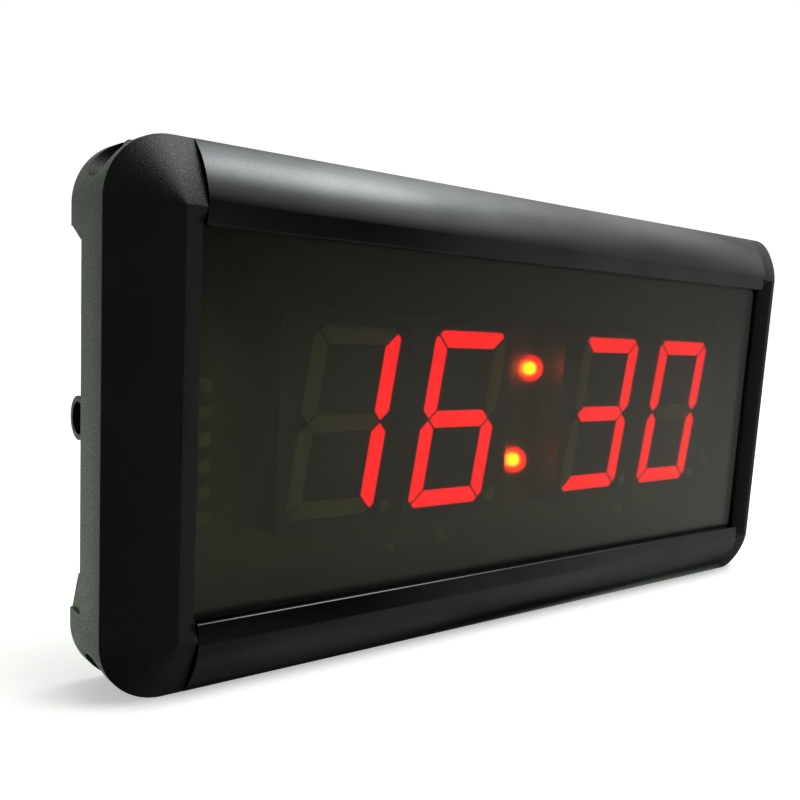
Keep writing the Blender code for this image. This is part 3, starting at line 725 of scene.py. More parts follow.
def combine(solid: Object, cutter: Object, cut: Cut = Cut.AWAY) -> None:
    """Adds an exact Boolean.

    Args:
        solid: What is cut.
        cutter: What it is cut with, which goes when the solid is baked.
        cut: Whether the cutter's form is taken away or added.
    """
    modifier = solid.modifiers.new(cutter.name, "BOOLEAN")
    modifier.operation = cut.value
    modifier.object = cutter
    modifier.solver = "EXACT"


def cutters_of(obj: Object) -> list[Object]:
    """Lists what an object's Booleans cut with, and what cuts those in turn."""
    direct = [modifier.object for modifier in obj.modifiers if modifier.type == "BOOLEAN"]
    return direct + [deeper for cutter in direct for deeper in cutters_of(cutter)]


def bake(obj: Object, sharp: float = 30.0) -> Object:
    """Turns an object with live modifiers into a plain mesh, shaded smooth but for its sharp edges.

    Args:
        obj: The object to flatten, which goes, and its cutters with it.
        sharp: Edges that turn more than this many degrees stay sharp.

    Returns:
        The plain object, at the origin and with its place in its mesh.
    """
    bpy.context.view_layer.update()
    name, cutters = obj.name, cutters_of(obj)
    graph = bpy.context.evaluated_depsgraph_get()
    mesh = bpy.data.meshes.new_from_object(obj.evaluated_get(graph))
    mesh.transform(obj.matrix_world)
    for used in (obj, *cutters):
        bpy.data.objects.remove(used)
    shape = bmesh.new()
    shape.from_mesh(mesh)
    materials = [m for m in mesh.materials if m]
    bpy.data.meshes.remove(mesh)
    plain = mesh_of(name, shape)
    for material in materials:
        plain.materials.append(material)
    plain.shade_smooth()
    plain.set_sharp_from_angle(angle=math.radians(sharp))
    return new_object(name, plain)


def eased(obj: Object, width: float, angle: float, segments: int = 2, sharp: float = 30.0) -> Object:
    """Bevels an object's edges and bakes it.

    Args:
        obj: The object, which goes.
        width: The bevel's width.
        angle: Edges that turn more than this many degrees are bevelled.
        segments: How many faces the bevel gets.
        sharp: As for bake().

    Returns:
        The plain object.
    """
    modifier = obj.modifiers.new("edge", "BEVEL")
    modifier.width = width
    modifier.segments = segments
    modifier.limit_method = "ANGLE"
    modifier.angle_limit = math.radians(angle)
    return bake(obj, sharp)


def coat(obj: Object, *finishes: Finish) -> None:
    """Gives an object these finishes and no others."""
    obj.data.materials.clear()
    for finish in finishes:
        obj.data.materials.append(finish.material())


def hand_over(obj: Object, slot: str, *nodes: str) -> None:
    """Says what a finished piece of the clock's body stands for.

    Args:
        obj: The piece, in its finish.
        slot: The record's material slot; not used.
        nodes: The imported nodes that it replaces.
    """
    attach(obj, CLOCK)
    if nodes:
        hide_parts(*nodes)
    LOG.info("%s: %d faces, stands for %s", obj.name, len(obj.data.polygons), ", ".join(nodes) or "no node")


def outline_curve(name: str, loops: list[list[Point]]) -> Object:
    """Makes a flat curve object of closed loops, for a node tree to fill or sweep.

    Args:
        name: The object's name.
        loops: The loops' points.

    Returns:
        The object.
    """
    curve = bpy.data.curves.new(name, "CURVE")
    curve.dimensions = "2D"
    curve.fill_mode = "NONE"
    for loop in loops:
        spline = curve.splines.new("POLY")
        spline.points.add(len(loop) - 1)
        for point, place in zip(spline.points, loop):
            point.co = (*place, 0.0, 1.0)
        spline.use_cyclic_u = True
    return new_object(name, curve)


def geometry_tree(name: str, inputs: dict[str, str]) -> tuple[Tree, Any]:
    """Starts a geometry tree that takes a geometry, a material and its own inputs.

    Args:
        name: The tree's name.
        inputs: Socket type by the name of each input of its own.

    Returns:
        The tree, and the sockets that give its inputs inside it.
    """
    tree = bpy.data.node_groups.new(name, "GeometryNodeTree")
    kinds = {"Geometry": "NodeSocketGeometry", **inputs, "Material": "NodeSocketMaterial"}
    for label, kind in kinds.items():
        tree.interface.new_socket(label, in_out="INPUT", socket_type=kind)
    tree.interface.new_socket("Geometry", in_out="OUTPUT", socket_type="NodeSocketGeometry")
    return tree, tree.nodes.new("NodeGroupInput").outputs


def close_tree(tree: Tree, geometry: Node, material: Socket) -> Tree:
    """Ends a geometry tree in Realize Instances and Set Material.

    Args:
        tree: The tree.
        geometry: The node that gives its shape.
        material: Where its material comes from.

    Returns:
        The tree.
    """
    real = add_node(tree, "GeometryNodeRealizeInstances", {"Geometry": geometry})
    dressed = add_node(tree, "GeometryNodeSetMaterial", {"Geometry": real, "Material": material})
    add_node(tree, "NodeGroupOutput", {"Geometry": dressed})
    return tree


def run_tree(obj: Object, tree: Tree, finish: Finish, values: Inputs) -> None:
    """Puts a geometry tree on an object and sets its inputs by their identifiers.

    Args:
        obj: The object.
        tree: The tree.
        finish: What its Material input gets.
        values: What its own inputs get, by name.
    """
    modifier = obj.modifiers.new(tree.name, "NODES")
    modifier.node_group = tree
    values = {**values, "Material": finish.material()}
    for item in tree.interface.items_tree:
        if item.in_out == "INPUT" and item.name in values:
            modifier[item.identifier] = values[item.name]


def extrusion_tree() -> Tree:
    """Makes the tree that sweeps an outline along a straight line, as a die does.

    Returns:
        The tree, with the inputs Start and End.
    """
    tree, given = geometry_tree("extrude_section", {"Start": "NodeSocketVector", "End": "NodeSocketVector"})
    ends = {"Start": given["Start"], "End": given["End"]}
    line = add_node(tree, "GeometryNodeCurvePrimitiveLine", ends, mode="POINTS")
    profile = {"Curve": line, "Profile Curve": given["Geometry"], "Fill Caps": True}
    return close_tree(tree, add_node(tree, "GeometryNodeCurveToMesh", profile), given["Material"])


def plate_tree() -> Tree:
    """Makes the tree that fills outlines and gives them a thickness.

    Returns:
        The tree, with the input Thickness.
    """
    tree, given = geometry_tree("fill_and_thicken", {"Thickness": "NodeSocketFloat"})
    filled = add_node(tree, "GeometryNodeFillCurve", {"Curve": given["Geometry"]}, mode="NGONS")
    rise = {"Offset": (0.0, 0.0, 1.0), "Offset Scale": given["Thickness"], "Individual": False}
    raised = add_node(tree, "GeometryNodeExtrudeMesh", {"Mesh": filled, **rise})
    floor = add_node(tree, "GeometryNodeFlipFaces", {"Mesh": filled})
    joined = add_node(tree, "GeometryNodeJoinGeometry")
    for part in (raised, floor):
        fill_inputs(joined, {"Geometry": part})
    seam = {"Geometry": joined, "Distance": 0.001 * MM}
    return close_tree(tree, add_node(tree, "GeometryNodeMergeByDistance", seam), given["Material"])


def scatter_tree() -> Tree:
    """Makes the tree that puts copies of a piece on points, each turned by its point's own angle.

    Returns:
        The tree, with the input Piece.
    """
    tree, given = geometry_tree("copies_on_points", {"Piece": "NodeSocketObject"})
    piece = add_node(tree, "GeometryNodeObjectInfo", {"Object": given["Piece"]}).outputs["Geometry"]
    turn = add_node(tree, "GeometryNodeInputNamedAttribute", {"Name": "turn"}, data_type="FLOAT_VECTOR")
    copies = {"Points": given["Geometry"], "Instance": piece, "Rotation": turn.outputs["Attribute"]}
    return close_tree(tree, add_node(tree, "GeometryNodeInstanceOnPoints", copies), given["Material"])


def scatter(name: str, piece: Object, finish: Finish, places: list[Vector], turns: list[Vector]) -> Object:
    """Puts copies of a piece on points, as one plain mesh.

    Args:
        name: The new object's name.
        piece: The piece, which goes.
        finish: The copies' finish.
        places: Where the copies go.
        turns: How each is turned about x, y and z.

    Returns:
        The object.
    """
    points = bpy.data.meshes.new(name)
    points.from_pydata(places, [], [])
    attribute = points.attributes.new("turn", "FLOAT_VECTOR", "POINT")
    attribute.data.foreach_set("vector", [angle for turn in turns for angle in turn])
    obj = new_object(name, points)
    run_tree(obj, scatter_tree(), finish, {"Piece": piece})
    copies = bake(obj)
    bpy.data.objects.remove(piece)
    coat(copies, finish)
    return copies


@dataclass
class FrameRails:
    """The two extruded aluminium rails that hold the window, the board and the back panel."""

    end_x: float = 106.42 * MM
    ridge_z: float = RIDGE_Z + 1.25 * MM
    lip_z: float = RIDGE_Z - CHAMFER_WIDTH + 1.1 * MM
    lip_depth: float = 0.6 * MM
    lip_round: float = 0.45 * MM
    ridge_round: float = 0.12 * MM
    shoulder_round: float = 0.06 * MM
    heel_round: float = 0.5 * MM
    sagitta: float = 1.4 * MM
    wall: float = 1.6 * MM
    rib: float = 1.0 * MM
    hook: float = 1.1 * MM
    groove: float = 3.5 * MM
    groove_play: float = 0.25 * MM
    web_rise: float = 0.1 * MM
    back: float = 25.3 * MM
    panel_rib_z: float = 55.6 * MM
    board_rib_z: float = 50.2 * MM
    board_slot_z: float = 53.2 * MM
    flange_z: float = 50.0 * MM
    port_radius: float = 3.1 * MM
    port_bore: float = 1.8 * MM
    port_mouth: float = 28.0
    edge: float = 0.12 * MM

    @property
    def inner_top(self) -> float:
        """The underside of the rail's wall."""
        return HALF_HEIGHT - self.wall

    def port(self) -> list[Point]:
        """Draws the screw channel, open to the front.

        Returns:
            The channel's part of the outline, from the board's front rib up to the wall.
        """
        centre = (SCREW_DEPTH, SCREW_Z)
        low, high = math.radians(180 - self.port_mouth), math.radians(180 + self.port_mouth)
        at_wall = math.pi - math.asin((self.inner_top - SCREW_Z) / self.port_radius)
        outline = circle_points(centre, self.port_radius, math.radians(270), high, 8)
        outline += circle_points(centre, self.port_bore, high, low + math.tau, 28)
        return outline + circle_points(centre, self.port_radius, low, at_wall, 2)

    def ribs(self) -> list[Point]:
        """Draws the back flange, the back panel's groove and the board's groove.

        Returns:
            Their part of the outline, from the flange's foot to the board's front rib.
        """
        top, flange = self.inner_top, self.back - self.rib
        rib_back = PANEL_FRONT - GAP
        rib_front = rib_back - self.rib
        slot_front, slot_back = BOARD_FRONT - GAP, BOARD_BACK + GAP
        outline = [(self.back, self.flange_z), (flange, self.flange_z), (flange, top)]
        outline += [(rib_back, top), (rib_back, self.panel_rib_z)]
        outline += [(rib_front, self.panel_rib_z), (rib_front, top)]
        outline += [(slot_back + self.rib, top), (slot_back + self.rib, self.board_rib_z)]
        outline += [(slot_back, self.board_rib_z), (slot_back, self.board_slot_z)]
        outline += [(slot_front, self.board_slot_z), (slot_front, self.board_rib_z)]
        return outline + [(slot_front - self.rib, self.board_rib_z)]

    def section(self) -> list[Point]:
        """Draws the top rail's outline as depth and height from the ridge centre.

        Returns:
            The closed outline, with its outer corners rounded as the die rounds them.
        """
        shoulder, heel = (BEZEL_DEPTH, HALF_HEIGHT), (self.back, HALF_HEIGHT)
        arc, centre, radius = arc_between((0.0, self.ridge_z), shoulder, self.sagitta, 40)
        nose_back = WINDOW_FRONT - self.groove_play
        nose = [(nose_back, self.lip_z), (self.lip_depth, self.lip_z), arc[0], arc[1]]
        outline = fillet(nose, {1: self.lip_round, 2: self.ridge_round}, 5)[1:-1]
        outline += arc[1:-1]
        outline += fillet([arc[-2], shoulder, heel], {1: self.shoulder_round}, 4)[1:-1]
        outline += fillet([shoulder, heel, (self.back, self.flange_z)], {1: self.heel_round}, 5)[1:-1]
        outline += self.ribs() + self.port()
        web_top = self.ridge_z + self.web_rise
        reach = radius - self.wall
        high, low = (math.pi - math.asin((z - centre.y) / reach) for z in (self.inner_top, web_top))
        outline += circle_points(centre, reach, high, low, 16)
        groove_back = WINDOW_BACK + GAP
        hook_z, groove_z = self.lip_z + self.hook, self.lip_z + self.groove
        outline += [(groove_back + self.hook, web_top), (groove_back + self.hook, hook_z)]
        outline += [(groove_back, hook_z), (groove_back, groove_z)]
        return outline + [(nose_back, groove_z), (nose_back, self.lip_z)]

    def build(self) -> None:
        """Sweeps both rails and dresses them."""
        tree = extrusion_tree()
        section = self.section()
        ends = {"Start": (-self.end_x, 0.0, 0.0), "End": (self.end_x, 0.0, 0.0)}
        for name, up in (("top_rail", 1), ("bottom_rail", -1)):
            # A swept outline's x runs towards -y and its y towards -z, so both are turned here.
            outline = [(-depth - RIDGE_CENTRE.y, -up * z - RIDGE_CENTRE.z) for depth, z in section]
            obj = outline_curve(name + "_extrusion", [outline])
            run_tree(obj, tree, BLACK_ALUMINIUM, ends)
            rail = eased(bake(obj), self.edge, 60.0, sharp=35.0)
            coat(rail, BLACK_ALUMINIUM)
            hand_over(rail, "rail", name)


@dataclass
class EndCap:
    """A moulded cap: the bezel turned round a corner, with screw pockets, feet and a rebate at the back."""

    side: Side
    with_outlet: bool
    joint_x: float = OPENING_X
    sagitta: float = 0.7 * MM
    ridge_round: float = 0.22 * MM
    shoulder_round: float = 0.4 * MM
    heel_round: float = 0.35 * MM
    edge: float = 0.14 * MM
    wall: float = 2.0 * MM
    lip: float = 0.6 * MM
    lip_rise: float = 1.0 * MM
    turn_steps: int = 28
    pocket_radius: float = 5.7 * MM
    boss_radius: float = 7.4 * MM
    seat_wall: float = 2.5 * MM
    hole_radius: float = 1.8 * MM
    band_back: float = 19.2 * MM
    rebate: float = 2.5 * MM
    foot_top_z: float = 41.2 * MM
    foot_top_ramp_z: float = 38.0 * MM
    foot_bottom_z: float = -42.3 * MM
    foot_bottom_ramp_z: float = -33.7 * MM
    foot_ramp_back: float = 24.7 * MM
    foot_ramp_front: float = 21.8 * MM
    foot_inset: float = 0.6 * MM
    foot_inset_rise: float = 0.5 * MM
    outlet_depth: float = 20.8 * MM
    outlet_z: float = 0.9 * MM
    outlet_radius: float = 3.5 * MM
    outlet_flat: float = 0.1 * MM
    lobe_radius: float = 4.76 * MM
    lobe_inset: float = 0.05 * MM
    keyhole_x: float = 116.0 * MM
    keyhole_z: float = 30.0 * MM
    keyhole_radius: float = 4.3 * MM
    keyhole_slot: float = 4.6 * MM
    keyhole_rise: float = 8.0 * MM
    cup_radius: float = 4.6 * MM
    cup_wall: float = 1.5 * MM
    cup_front: float = 17.8 * MM
    past: float = 1.0 * MM

    @property
    def word(self) -> str:
        """The side's name."""
        return self.side.name.lower()

    def ring(self, offset: float, depth: float, start: float) -> list[Vector]:
        """Gives points round the cap at one offset from the ridge.

        Args:
            offset: The distance outwards from the ridge line; inwards where it is negative.
            depth: The distance back from the ridge.
            start: The x where the ring begins and ends, before the side's sign.

        Returns:
            The points, from the joint's top round the outside to its bottom.
        """
        x, z, radius = RIDGE_X + min(offset, 0.0), RIDGE_Z + min(offset, 0.0), max(offset, 0.0)
        flat = [(start, z + radius)]
        flat += circle_points((x, z), radius, math.pi / 2, 0.0, self.turn_steps)
        flat += circle_points((x, -z), radius, 0.0, -math.pi / 2, self.turn_steps)
        flat.append((start, -z - radius))
        return at_depth([(self.side.value * a, b) for a, b in flat], depth)

    def loft(self, name: str, section: list[Point], start: float) -> Object:
        """Skins rings whose depth and offset follow a section, and closes them at the joint."""
        rows = [self.ring(offset, depth, start) for depth, offset in section]
        return skin(f"{self.word}_{name}", rows, ring=False)

    def carve(
        self, solid: Object, name: str, loop: list[Point], inner: float, outer: float, cut: Cut = Cut.AWAY
    ) -> None:
        """Cuts or adds a prism that runs along x.

        Args:
            solid: What is cut.
            name: The prism's name, before which the side's is put.
            loop: Its (depth, height) outline.
            inner: How far its inner end is from the clock's middle.
            outer: How far its outer end is.
            cut: Whether it is taken away or added.
        """
        ends = (self.side.value * inner, self.side.value * outer)
        rows = [[RIDGE_CENTRE + Vector((x, depth, z)) for depth, z in loop] for x in ends]
        combine(solid, skin(f"{self.word}_{name}", rows), cut)

    def bore(self, solid: Object, name: str, radius: float, inner: float, outer: float) -> None:
        """Cuts a round prism on the axis of each of the cap's two screws."""
        for word, up in LEVELS:
            loop = circle_points((SCREW_DEPTH, up * SCREW_Z), radius, 0.0, math.tau, 56)[:-1]
            self.carve(solid, f"{word}_{name}", loop, inner, outer)

    def body(self) -> Object:
        """Makes the solid outer form, with the ridge and the outer edges rounded.

        Returns:
            The form, ready for the modifiers that cut it.
        """
        arc, _, _ = arc_between((0.0, 0.0), (BEZEL_DEPTH, BEZEL_WIDTH), self.sagitta, 14)
        rough = [(CHAMFER_DEPTH, -CHAMFER_WIDTH), *arc, (DEPTH, BEZEL_WIDTH), (DEPTH, 0.0)]
        last = len(rough) - 3
        rounds = {1: self.ridge_round, last: self.shoulder_round, last + 1: self.heel_round}
        return self.loft("end_cap_moulding", fillet(rough, rounds, 5)[:-1], self.joint_x)

    def cavity(self) -> Object:
        """Makes the hollow, less the screw bosses, the rebate's wall and the keyhole's cup.

        Returns:
            The hollow, as a cutter.
        """
        inner = BEZEL_WIDTH - self.wall
        section = [(CHAMFER_DEPTH + self.lip, self.lip_rise), (BEZEL_DEPTH + self.lip_rise, inner)]
        section.append((DEPTH - self.wall, inner))
        hollow = self.loft("hollow", section, self.joint_x - self.past)
        self.bore(hollow, "boss", self.boss_radius, SCREW_SEAT_X - self.seat_wall, HALF_WIDTH)
        back = DEPTH - self.wall / 2
        low, high = self.foot_bottom_z - self.wall, self.foot_top_z + self.wall
        band = rectangle((self.band_back - self.wall, low), (back, high))
        self.carve(hollow, "rebate_wall", band, HALF_WIDTH - self.rebate - self.wall, HALF_WIDTH)
        reach = self.cup_radius + self.cup_wall
        low, high = self.keyhole_z - reach, self.keyhole_z + self.keyhole_rise + reach
        cup = rectangle((self.cup_front - self.cup_wall, low), (back, high))
        self.carve(hollow, "keyhole_cup", cup, self.keyhole_x - reach, HALF_WIDTH)
        return hollow

    def cut_rebate(self, cap: Object) -> None:
        """Cuts the step between the corner feet, and the lower foot's inset.

        Args:
            cap: The cap.
        """
        past_back, past_side = DEPTH + self.past, HALF_WIDTH + self.past
        deep = [(self.band_back, self.foot_top_ramp_z), (self.foot_ramp_back, self.foot_top_z)]
        deep += [(past_back, self.foot_top_z), (past_back, self.foot_bottom_z), (DEPTH, self.foot_bottom_z)]
        deep += [(self.foot_ramp_front, self.foot_bottom_ramp_z), (self.band_back, self.foot_bottom_ramp_z)]
        inset_top = (past_back, self.foot_bottom_ramp_z + self.foot_inset_rise)
        shallow = rectangle((self.band_back, self.foot_bottom_z), inset_top)
        self.carve(cap, "rebate", deep, HALF_WIDTH - self.rebate, past_side)
        self.carve(cap, "foot_inset", shallow, HALF_WIDTH - self.foot_inset, past_side)

    def cut_keyhole(self, cap: Object) -> None:
        """Cuts the keyhole that a wall screw's head goes into, and the cup behind it.

        Args:
            cap: The cap.
        """
        middle = self.side.value * self.keyhole_x
        top = self.keyhole_z + self.keyhole_rise
        cup = circle_points((middle, top), self.cup_radius, 0.0, math.pi, 24)
        cup += circle_points((middle, self.keyhole_z), self.cup_radius, math.pi, math.tau, 24)
        turn = math.asin(self.keyhole_slot / 2 / self.keyhole_radius)
        low, high = math.pi / 2 - turn, math.pi / 2 + turn - math.tau
        mouth = circle_points((middle, self.keyhole_z), self.keyhole_radius, low, high, 40)
        mouth += circle_points((middle, top), self.keyhole_slot / 2, math.pi, 0.0, 16)
        inside = DEPTH - self.wall
        forms = (
            ("cup_hollow", cup, self.cup_front, inside),
            ("keyhole", mouth, inside - self.past / 2, DEPTH + self.past),
        )
        for name, loop, front, back in forms:
            combine(cap, skin(f"{self.word}_{name}", [at_depth(loop, front), at_depth(loop, back)]))

    def add_lobe(self, cap: Object) -> None:
        """Adds the round lobe that the power cable comes out of.

        Args:
            cap: The cap.
        """
        loop = circle_points((self.outlet_depth, self.outlet_z), self.lobe_radius, 0.0, math.tau, 72)[:-1]
        inner = HALF_WIDTH - self.rebate - self.wall / 2
        self.carve(cap, "outlet_lobe", loop, inner, HALF_WIDTH - self.lobe_inset, Cut.ADDED)

    def cut_cable_hole(self, cap: Object) -> None:
        """Cuts the cable's hole, flat where the side band ends.

        Args:
            cap: The cap.
        """
        flat = self.band_back + self.outlet_flat
        half_turn = math.acos((flat - self.outlet_depth) / self.outlet_radius)
        loop = circle_points((self.outlet_depth, self.outlet_z), self.outlet_radius, -half_turn, half_turn, 40)
        inside = HALF_WIDTH - self.rebate - self.wall - self.past
        self.carve(cap, "cable_hole", loop, inside, HALF_WIDTH + self.past)

    def build(self) -> None:
        """Moulds the cap, rounds what the tool rounds, and dresses it."""
        cap = self.body()
        self.bore(cap, "pocket", self.pocket_radius, SCREW_SEAT_X, HALF_WIDTH + self.past)
        self.cut_rebate(cap)
        if self.with_outlet:
            self.add_lobe(cap)
        combine(cap, self.cavity())
        behind_seat = SCREW_SEAT_X - 2 * self.seat_wall
        self.bore(cap, "screw_hole", self.hole_radius, behind_seat, SCREW_SEAT_X + self.past)
        self.cut_keyhole(cap)
        if self.with_outlet:
            self.cut_cable_hole(cap)
        moulded = eased(bake(cap), self.edge, 38.0, sharp=42.0)
        moulded.name = f"{self.word}_end_cap_dressed"
        coat(moulded, BLACK_CAP)
        hand_over(moulded, "cap", f"{self.word}_end_cap")


@dataclass
class CapScrews:
    """Four pan-head screws with cross recesses, sunk in the caps' pockets."""

    head_radius: float = 2.75 * MM
    head_height: float = 1.7 * MM
    head_round: float = 0.8 * MM
    shank_radius: float = 1.5 * MM
    end_x: float = 95.0 * MM
    blade: float = 0.35 * MM
    recess_top: float = 2.0 * MM
    steps: int = 40

    def screw(self) -> Object:
        """Turns one screw about z, with its seat at the origin and its head above it.

        Returns:
            The screw.
        """
        length = SCREW_SEAT_X + GAP - self.end_x
        dome = [(0.0, self.head_height), (self.head_radius, self.head_height * 0.8), (self.head_radius, 0.0)]
        shank = [(self.shank_radius, 0.0), (self.shank_radius, self.shank_radius - length), (0.0, -length)]
        profile = fillet(dome, {1: self.head_round}, 6) + shank
        screw = lathe("cap_screw_blank", profile, self.steps, Matrix())
        reach, floor = 0.62 * self.head_radius, 0.45 * self.head_height
        for name, x, y in (("recess_across", reach, self.blade), ("recess_along", self.blade, reach)):
            mouth = rectangle((-x, -y), (x, y))
            levels = ((0.7, floor), (1.0, floor + self.recess_top))
            combine(screw, skin(name, [[(a * taper, b * taper, z) for a, b in mouth] for taper, z in levels]))
        return bake(screw)

    def build(self) -> None:
        """Puts a screw in each of the four pockets."""
        places, turns = [], []
        for side in Side:
            seat_x = side.value * (SCREW_SEAT_X + GAP)
            places += at_depth([(seat_x, -SCREW_Z), (seat_x, SCREW_Z)], SCREW_DEPTH)
            turns += [Vector((0.0, side.value * math.pi / 2, 0.0))] * 2
        screws = scatter("cap_screws", self.screw(), SCREW_STEEL, places, turns)
        nodes = [f"{side}_{up}_cap_screw" for side in ("left", "right") for up in ("upper", "lower")]
        hand_over(screws, "screw", *nodes)


@dataclass
class DisplayWindow:
    """The smoked sheet behind the opening. Its faces are shaded flat, so that it doesn't act as a lens."""

    end_x: float = OPENING_X + 2.2 * MM
    half_height: float = 45.4 * MM
    edge: float = 0.2 * MM

    def build(self) -> None:
        """Makes the sheet with its cut edges eased."""
        outline = rectangle((-self.end_x, -self.half_height), (self.end_x, self.half_height))
        sheet = skin("smoked_window", [at_depth(outline, WINDOW_FRONT), at_depth(outline, WINDOW_BACK)])
        window = eased(sheet, self.edge, 40.0, sharp=15.0)
        coat(window, SMOKED_SHEET)
        hand_over(window, "window", "display_window")


@dataclass
class DigitRow:
    """Four seven-segment modules: a dark face with milky light guides, some of them lit."""

    pitch: float = 37.5 * MM
    width: float = 37.2 * MM
    height: float = 52.6 * MM
    colon_gap: float = 21.3 * MM
    group_x: float = 0.95 * MM
    segment_x: float = 10.8 * MM
    segment_z: float = 21.0 * MM
    half: float = 2.12 * MM
    gap: float = 0.33 * MM
    clip: float = 1.0 * MM
    slant: float = 0.15
    point_x: float = 16.9 * MM
    point_z: float = -21.5 * MM
    point_radius: float = 1.72 * MM
    guide_gap: float = 0.15 * MM
    guide_inset: float = 0.5 * MM
    face_edge: float = 0.06 * MM
    guide_edge: float = 0.08 * MM
    lit: tuple[str, ...] = ("bc", "acdefg", "abcdg", "abcdef")
    tree: Tree = field(default_factory=plate_tree)

    def outlines(self, grow: float) -> dict[str, list[Point]]:
        """Draws the seven segments and the point.

        Args:
            grow: How much each outline is let out.

        Returns:
            Closed outlines by segment letter, slanted, about the module's middle.
        """
        half = self.half + grow
        mitre = (self.gap - grow) * math.sqrt(2)
        clip, x, z = self.clip, self.segment_x, self.segment_z
        right = [
            (x - half - mitre, z - half),
            (x + half - clip - mitre, z + half - clip),
            (x + half - 2 * clip - mitre, z + half),
        ]
        bar = right + [(-a, b) for a, b in reversed(right)]
        middle = [(x - mitre, 0.0), (x - half - mitre, half), (-x + half + mitre, half)]
        middle += [(-a, -b) for a, b in middle]
        upright = [
            (x - half, half + mitre),
            (x, mitre),
            (x + half, half + mitre),
            (x + half, z + half - 2 * clip - mitre),
            (x + half - clip, z + half - clip - mitre),
            (x - half, z - half - mitre),
        ]
        shapes = {"a": bar, "d": [(a, -b) for a, b in bar], "g": middle}
        for letter, flip_x, flip_z in (("b", 1, 1), ("c", 1, -1), ("e", -1, -1), ("f", -1, 1)):
            shapes[letter] = [(flip_x * a, flip_z * b) for a, b in upright]
        shapes = {letter: [(a + self.slant * b, b) for a, b in loop] for letter, loop in shapes.items()}
        point = (self.point_x + self.slant * self.point_z, self.point_z)
        shapes["p"] = circle_points(point, self.point_radius + grow, 0.0, math.tau, 32)[:-1]
        return shapes

    def centre(self, index: int) -> float:
        """Gives the x of a module's middle.

        Args:
            index: The module's number, counted from 0 at the left.

        Returns:
            Its place, with the colon's gap between the two pairs.
        """
        from_middle = index - (len(self.lit) - 1) / 2
        inner = (self.colon_gap + self.pitch) / 2
        distance = inner + (abs(from_middle) - 0.5) * self.pitch
        return self.group_x + math.copysign(1.0, from_middle) * distance

    def plate(self, name: str, loops: list[list[Point]], x: float, back: float) -> Object:
        """Thickens outlines from the digits' front to a depth.

        Args:
            name: The piece's name.
            loops: Outlines about the module's middle.
            x: The module's middle.
            back: The back's depth.

        Returns:
            The plain piece.
        """
        obj = outline_curve(name, loops)
        run_tree(obj, self.tree, MODULE_FACE, {"Thickness": back - DIGIT_FRONT})
        obj.matrix_world = Matrix.Translation(RIDGE_CENTRE + Vector((x, back, 0.0))) @ FACING
        return bake(obj)

    def build_housing(self, name: str, x: float) -> None:
        """Makes a module's case, grey on its face and black elsewhere, open where its guides stand.

        Args:
            name: The module's name.
            x: Its middle.
        """
        rim = rectangle((-self.width / 2, -self.height / 2), (self.width / 2, self.height / 2))
        windows = self.outlines(self.guide_gap).values()
        case = self.plate(name + "_face", [rim, *windows], x, DIGIT_BACK)
        housing = eased(case, self.face_edge, 60.0, 1)
        coat(housing, MODULE_FACE, MODULE_SHELL)
        for polygon in housing.data.polygons:
            polygon.material_index = 0 if polygon.normal.y < -0.5 else 1
        hand_over(housing, "digit_housing", name + "_housing")

    def build_guides(self, name: str, x: float, lit: str) -> None:
        """Makes a module's light guides, the lit ones and the unlit ones as two pieces.

        Args:
            name: The module's name.
            x: Its middle.
            lit: The letters of its lit segments.
        """
        outlines = self.outlines(0.0)
        for lamp, finish in GUIDES.items():
            loops = [loop for letter, loop in outlines.items() if (letter in lit) == (lamp is Lamp.ON)]
            piece = self.plate(f"{name}_{lamp.value}_guides", loops, x, DIGIT_BACK - self.guide_inset)
            guides = eased(piece, self.guide_edge, 60.0)
            coat(guides, finish)
            nodes = [name + "_light_guides"] if lamp is Lamp.ON else []
            hand_over(guides, "light_guide", *nodes)

    def build(self) -> None:
        """Makes each module's case and guides."""
        for index, lit in enumerate(self.lit):
            name, x = f"digit_{index + 1}", self.centre(index)
            self.build_housing(name, x)
            self.build_guides(name, x, lit)


